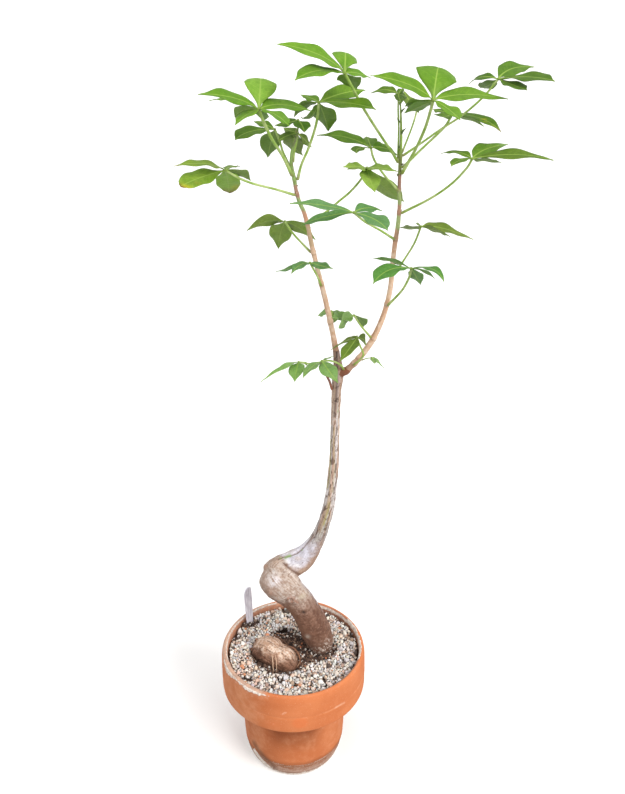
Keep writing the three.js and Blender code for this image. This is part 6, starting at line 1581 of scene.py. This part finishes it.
def leaflet(hub, row, number, tone_, tint, worn, speckle):
    tip, ctrl, width, roll, kind = row
    p0, p1, p2 = np.array(hub, float), np.array(ctrl, float), np.array(tip, float)
    length = np.linalg.norm(p2 - p0)
    if kind != "crest":
        p1 = p1 + 0.08 * (p0 - p2)
    d = unit(p2 - p0)
    w0 = np.cross(d, SKY)
    if np.linalg.norm(w0) < 0.15:
        w0 = np.cross(d, [0, -1, 0.3])
    w0 = unit(w0)
    n0 = np.cross(w0, d)
    r = math.radians(roll - (13 if kind == "crest" else 0))
    wide = w0 * math.cos(r) + n0 * math.sin(r)
    m, nn = ((40, 13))
    S = np.linspace(0, 1, m)
    T = np.linspace(-1, 1, nn)
    tab = np.array(OUTLINES[kind], float)
    # the outline as a smooth curve through the table
    ks = np.concatenate([tab[:, 0]])
    dk = np.gradient(tab[:, 1], ks)
    i = np.clip(np.searchsorted(ks, S, side="right") - 1, 0, len(ks) - 2)
    hh = ks[i + 1] - ks[i]
    f = (S - ks[i]) / hh
    o = (2 * f ** 3 - 3 * f ** 2 + 1) * tab[i, 1] + (f ** 3 - 2 * f ** 2 + f) * hh * dk[i] + (3 * f ** 2 - 2 * f ** 3) * tab[i + 1, 1] + (f ** 3 - f ** 2) * hh * dk[i + 1]
    a = np.maximum(0.30, np.maximum(o, 0) * width / 2)
    a[0] = max(a[0], 0.5)
    a[-1] = 0.18
    rs = np.random.default_rng(100 + number)
    ph = rs.uniform(0, 6.28, 4)
    waves = rs.uniform(1.6, 2.6, 2)
    amp = min(1.1, 0.045 * width + 0.1) * rs.uniform(0.7, 1.3, 2)
    cup = rs.uniform(0.02, 0.07)
    F = np.zeros((m, nn, 3)); B = F.copy()
    for k, s in enumerate(S):
        c = p0 * (1 - s) ** 2 + p1 * 2 * s * (1 - s) + p2 * s * s
        t = unit((p1 - p0) * 2 * (1 - s) + (p2 - p1) * 2 * s)
        w = unit(wide - t * wide.dot(t))
        n = np.cross(w, t)
        g = math.sin(math.pi * min(1.0, s * 1.06)) ** 0.5 if s < 0.95 else 0.3
        for j, x in enumerate(T):
            side = 0 if x < 0 else 1
            ax = abs(x)
            fold = FOLD_RISE * (math.sqrt(ax * ax + 0.012) - 0.11) * (0.25 if kind == "crest" else 1.0)
            bend = (0.34 * ax ** 1.8 if x > 0 else 0.10 * ax ** 2) if kind == "crest" else 0.0
            wave = amp[side] * ax ** 2.2 * math.sin(2 * math.pi * waves[side] * s + ph[side]) * g
            saw = 0.022 * width * ax ** 6 * abs(((s * 17 + 0.3 * side) % 1.0) - 0.5) * (1 if 0.15 < s < 0.97 else 0)
            quilt = 0.011 * width * (abs(math.sin(math.pi * (s * 12 - ax * 1.35 - 0.55 * ax * ax + ph[2] * 0))) ** 0.7) * (1 - ax ** 4) * step(0.0, 0.25, ax) * (1 if s > 0.08 else 0)
            droop = -cup * a[k] * ax * ax * 0.6
            y = a[k] * x * (1 - 0.02 * ax * ax) + (saw if x > 0 else -saw)
            up = a[k] * (fold - bend) + wave + quilt + droop
            mid = c + w * y + n * up
            th = 0.16 + (0.34 * (1 - s) + 0.08) * math.exp(-(a[k] * ax / (0.75 - 0.35 * s)) ** 2)
            F[k, j] = mid + n * (0.16 + 0.10 * (1 - s) * math.exp(-(a[k] * ax / 0.5) ** 2))
            B[k, j] = mid - n * th
    v, q = shell(F, B)
    if (normals(v, q)[:m * nn] @ n0).mean() < 0:
        q = q[:, ::-1]
    ss = np.tile(np.repeat(S, nn), 2)
    tt = np.tile(np.tile(T, m), 2)
    up = np.concatenate([np.ones(m * nn), np.zeros(m * nn)])
    aa = np.tile(np.repeat(a, nn), 2)
    base = 0.95 * tone(*tone_) * np.array(tint) * rs.uniform(0.95, 1.06) * np.array([rs.uniform(0.96, 1.05), 1.0, rs.uniform(0.9, 1.1)])
    col = np.tile(base, (len(v), 1))
    patch = fbm(np.stack([ss * length / 9.0, tt * aa / 6.0, np.full(len(ss), number * 3.7)], 1), 3, 61)
    col = mixc(col, base * (1.20, 1.10, 1.25), 0.6 * step(0.02, 0.5, patch))
    col = mixc(col, base * (0.78, 0.86, 0.70), 0.6 * step(0.02, 0.5, -patch))
    col = mixc(col, tone(172, 196, 112), 0.5 * (1 - step(0.0, 0.16, ss)))
    for s0, x0, rs_, rx_, c_, k_ in worn:
        m_ = np.exp(-((ss - s0) / rs_) ** 2 - ((tt - x0) / rx_) ** 2 + 0.8 * patch)
        col = mixc(col, tone(*c_), np.clip(k_ * 1.3 * m_, 0, k_))
    return v, q, dict(col=col, lf=np.stack([ss, tt, up], 1), lm=np.stack([ss * length, tt * aa, np.full(len(ss), float(number))], 1), spk=np.full(len(ss), float(speckle)))


FOLD_RISE = math.sin(math.radians(9.0))


def make_leaf(name, rp, petiole, rows, first):
    g = Geo()
    kind = KIND.get(name, "mid")
    P = [list(p) + [rp * (1.02 if i == 0 else 1.24 if i == len(petiole) - 1 else 0.98)] for i, p in enumerate(petiole)]
    if len(P) == 2:
        P.insert(1, [0.5 * (x + y) for x, y in zip(P[0], P[1])])
    v, q, t, x, a, r = tube(P, 1.3, 12)
    stalk = mixc(tone(180, 212, 108), tone(212, 230, 156), step(-0.3, 0.4, fbm(v / 6.0, 2, 64)))
    stalk = mixc(stalk, tone(150, 128, 84), 0.5 * (1 - step(0.0, 5.0, abs(x - x.max()))))
    n = len(v)
    g.add(v, q, t, col=stalk, lf=np.stack([np.full(n, 0.5), np.full(n, 0.999), np.ones(n)], 1), lm=np.stack([x, np.full(n, 30.0), np.full(n, 900.0 + first)], 1), spk=np.zeros(n))
    # the hub
    b, f = icosphere(2)
    n = len(b)
    rad = max(1.1, rp * 1.25)
    g.add(b * rad + np.array(petiole[0]), None, f, col=np.tile(tone(158, 184, 92), (n, 1)), lf=np.stack([np.full(n, 0.5), np.full(n, 0.999), np.ones(n)], 1),
          lm=np.stack([b[:, 0], np.full(n, 30.0), np.full(n, 950.0 + first)], 1), spk=np.zeros(n))
    for k, row in enumerate(rows):
        tint = np.array(TINT.get(name, (1, 1, 1)), float) * np.array(TINT.get((name, "crest" if row[4] == "crest" else k), (1, 1, 1)), float)
        if (name, k) in ARCH:
            m_, t_ = ARCH[(name, k)]
            row = [[x + y for x, y in zip(row[0], t_)], [x + y for x, y in zip(row[1], m_)]] + list(row[2:])
        v, q, at = leaflet(petiole[0], row, first + k, TONE[kind], tint, WORN.get((name, k), []), SPECKLE.get(kind, 0.0))
        g.add(v, q, None, **at)
    show(name + "_blades", data(name + "_blades", g), leaf_mat, name)


count = 0
for name, rp, petiole, rows in LEAVES:
    make_leaf(name, rp, petiole, rows, count)
    count += len(rows)

# ------------------------------------------------------------------ stage and light
WORLD_STRENGTH = 0.66
X0, Y0 = AXIS[0] / 1000.0, AXIS[1] / 1000.0


def ring(r, z, k=96):
    return [(X0 + r * math.cos(2 * math.pi * i / k), Y0 + r * math.sin(2 * math.pi * i / k), z) for i in range(k)]


def stage(name, rings, mat, cap=False):
    m, k = bpy.data.meshes.new(name), len(rings[0])
    faces = [(j * k + i, (j + 1) * k + i, (j + 1) * k + (i + 1) % k, j * k + (i + 1) % k) for j in range(len(rings) - 1) for i in range(k)]
    if cap:
        faces.append(tuple(range(k)))
    m.from_pydata([p for r in rings for p in r], [], faces)
    m.materials.append(mat)
    m.polygons.foreach_set("use_smooth", np.ones(len(m.polygons), bool))
    ob = bpy.data.objects.new(name, m)
    scene.collection.objects.link(ob)
    ob.visible_diffuse = False


stage("floor", [ring(1.0, 0.0), ring(30.0, 0.0)], floor_material(), cap=True)
stage("backdrop", [ring(30.0, 0.0), ring(30.0, 3.0), ring(30.0, 6.0)], backdrop_material())

world = bpy.data.worlds.new("world")
scene.world = world
world.use_nodes = True
world.node_tree.nodes["Background"].inputs[0].default_value = (1.0, 0.99, 0.98, 1.0)
world.node_tree.nodes["Background"].inputs[1].default_value = WORLD_STRENGTH


def sun(name, toward, strength, spread, color=(1, 1, 1)):
    d = bpy.data.lights.new(name, "SUN")
    d.energy = strength
    d.angle = math.radians(spread)
    d.color = color
    ob = bpy.data.objects.new(name, d)
    scene.collection.objects.link(ob)
    f = unit(np.array(toward, float))
    s = unit(np.cross([0.0, 1.0, 0.05], f))
    u = np.cross(f, s)
    ob.rotation_euler = Matrix([[s[0], u[0], f[0]], [s[1], u[1], f[1]], [s[2], u[2], f[2]]]).to_euler()
    ob.location = (X0, Y0, 2.0)
    return ob


sun("key", (0.62, -0.60, 0.52), 2.55, 36.0, (1.0, 0.97, 0.94))
sun("top", (0.05, -0.12, 1.0), 0.85, 70.0, (1.0, 1.0, 1.0))
sun("fill", (-0.80, -0.50, 0.34), 0.75, 60.0, (1.0, 1.0, 1.0))
scene.view_settings.view_transform = "Standard"
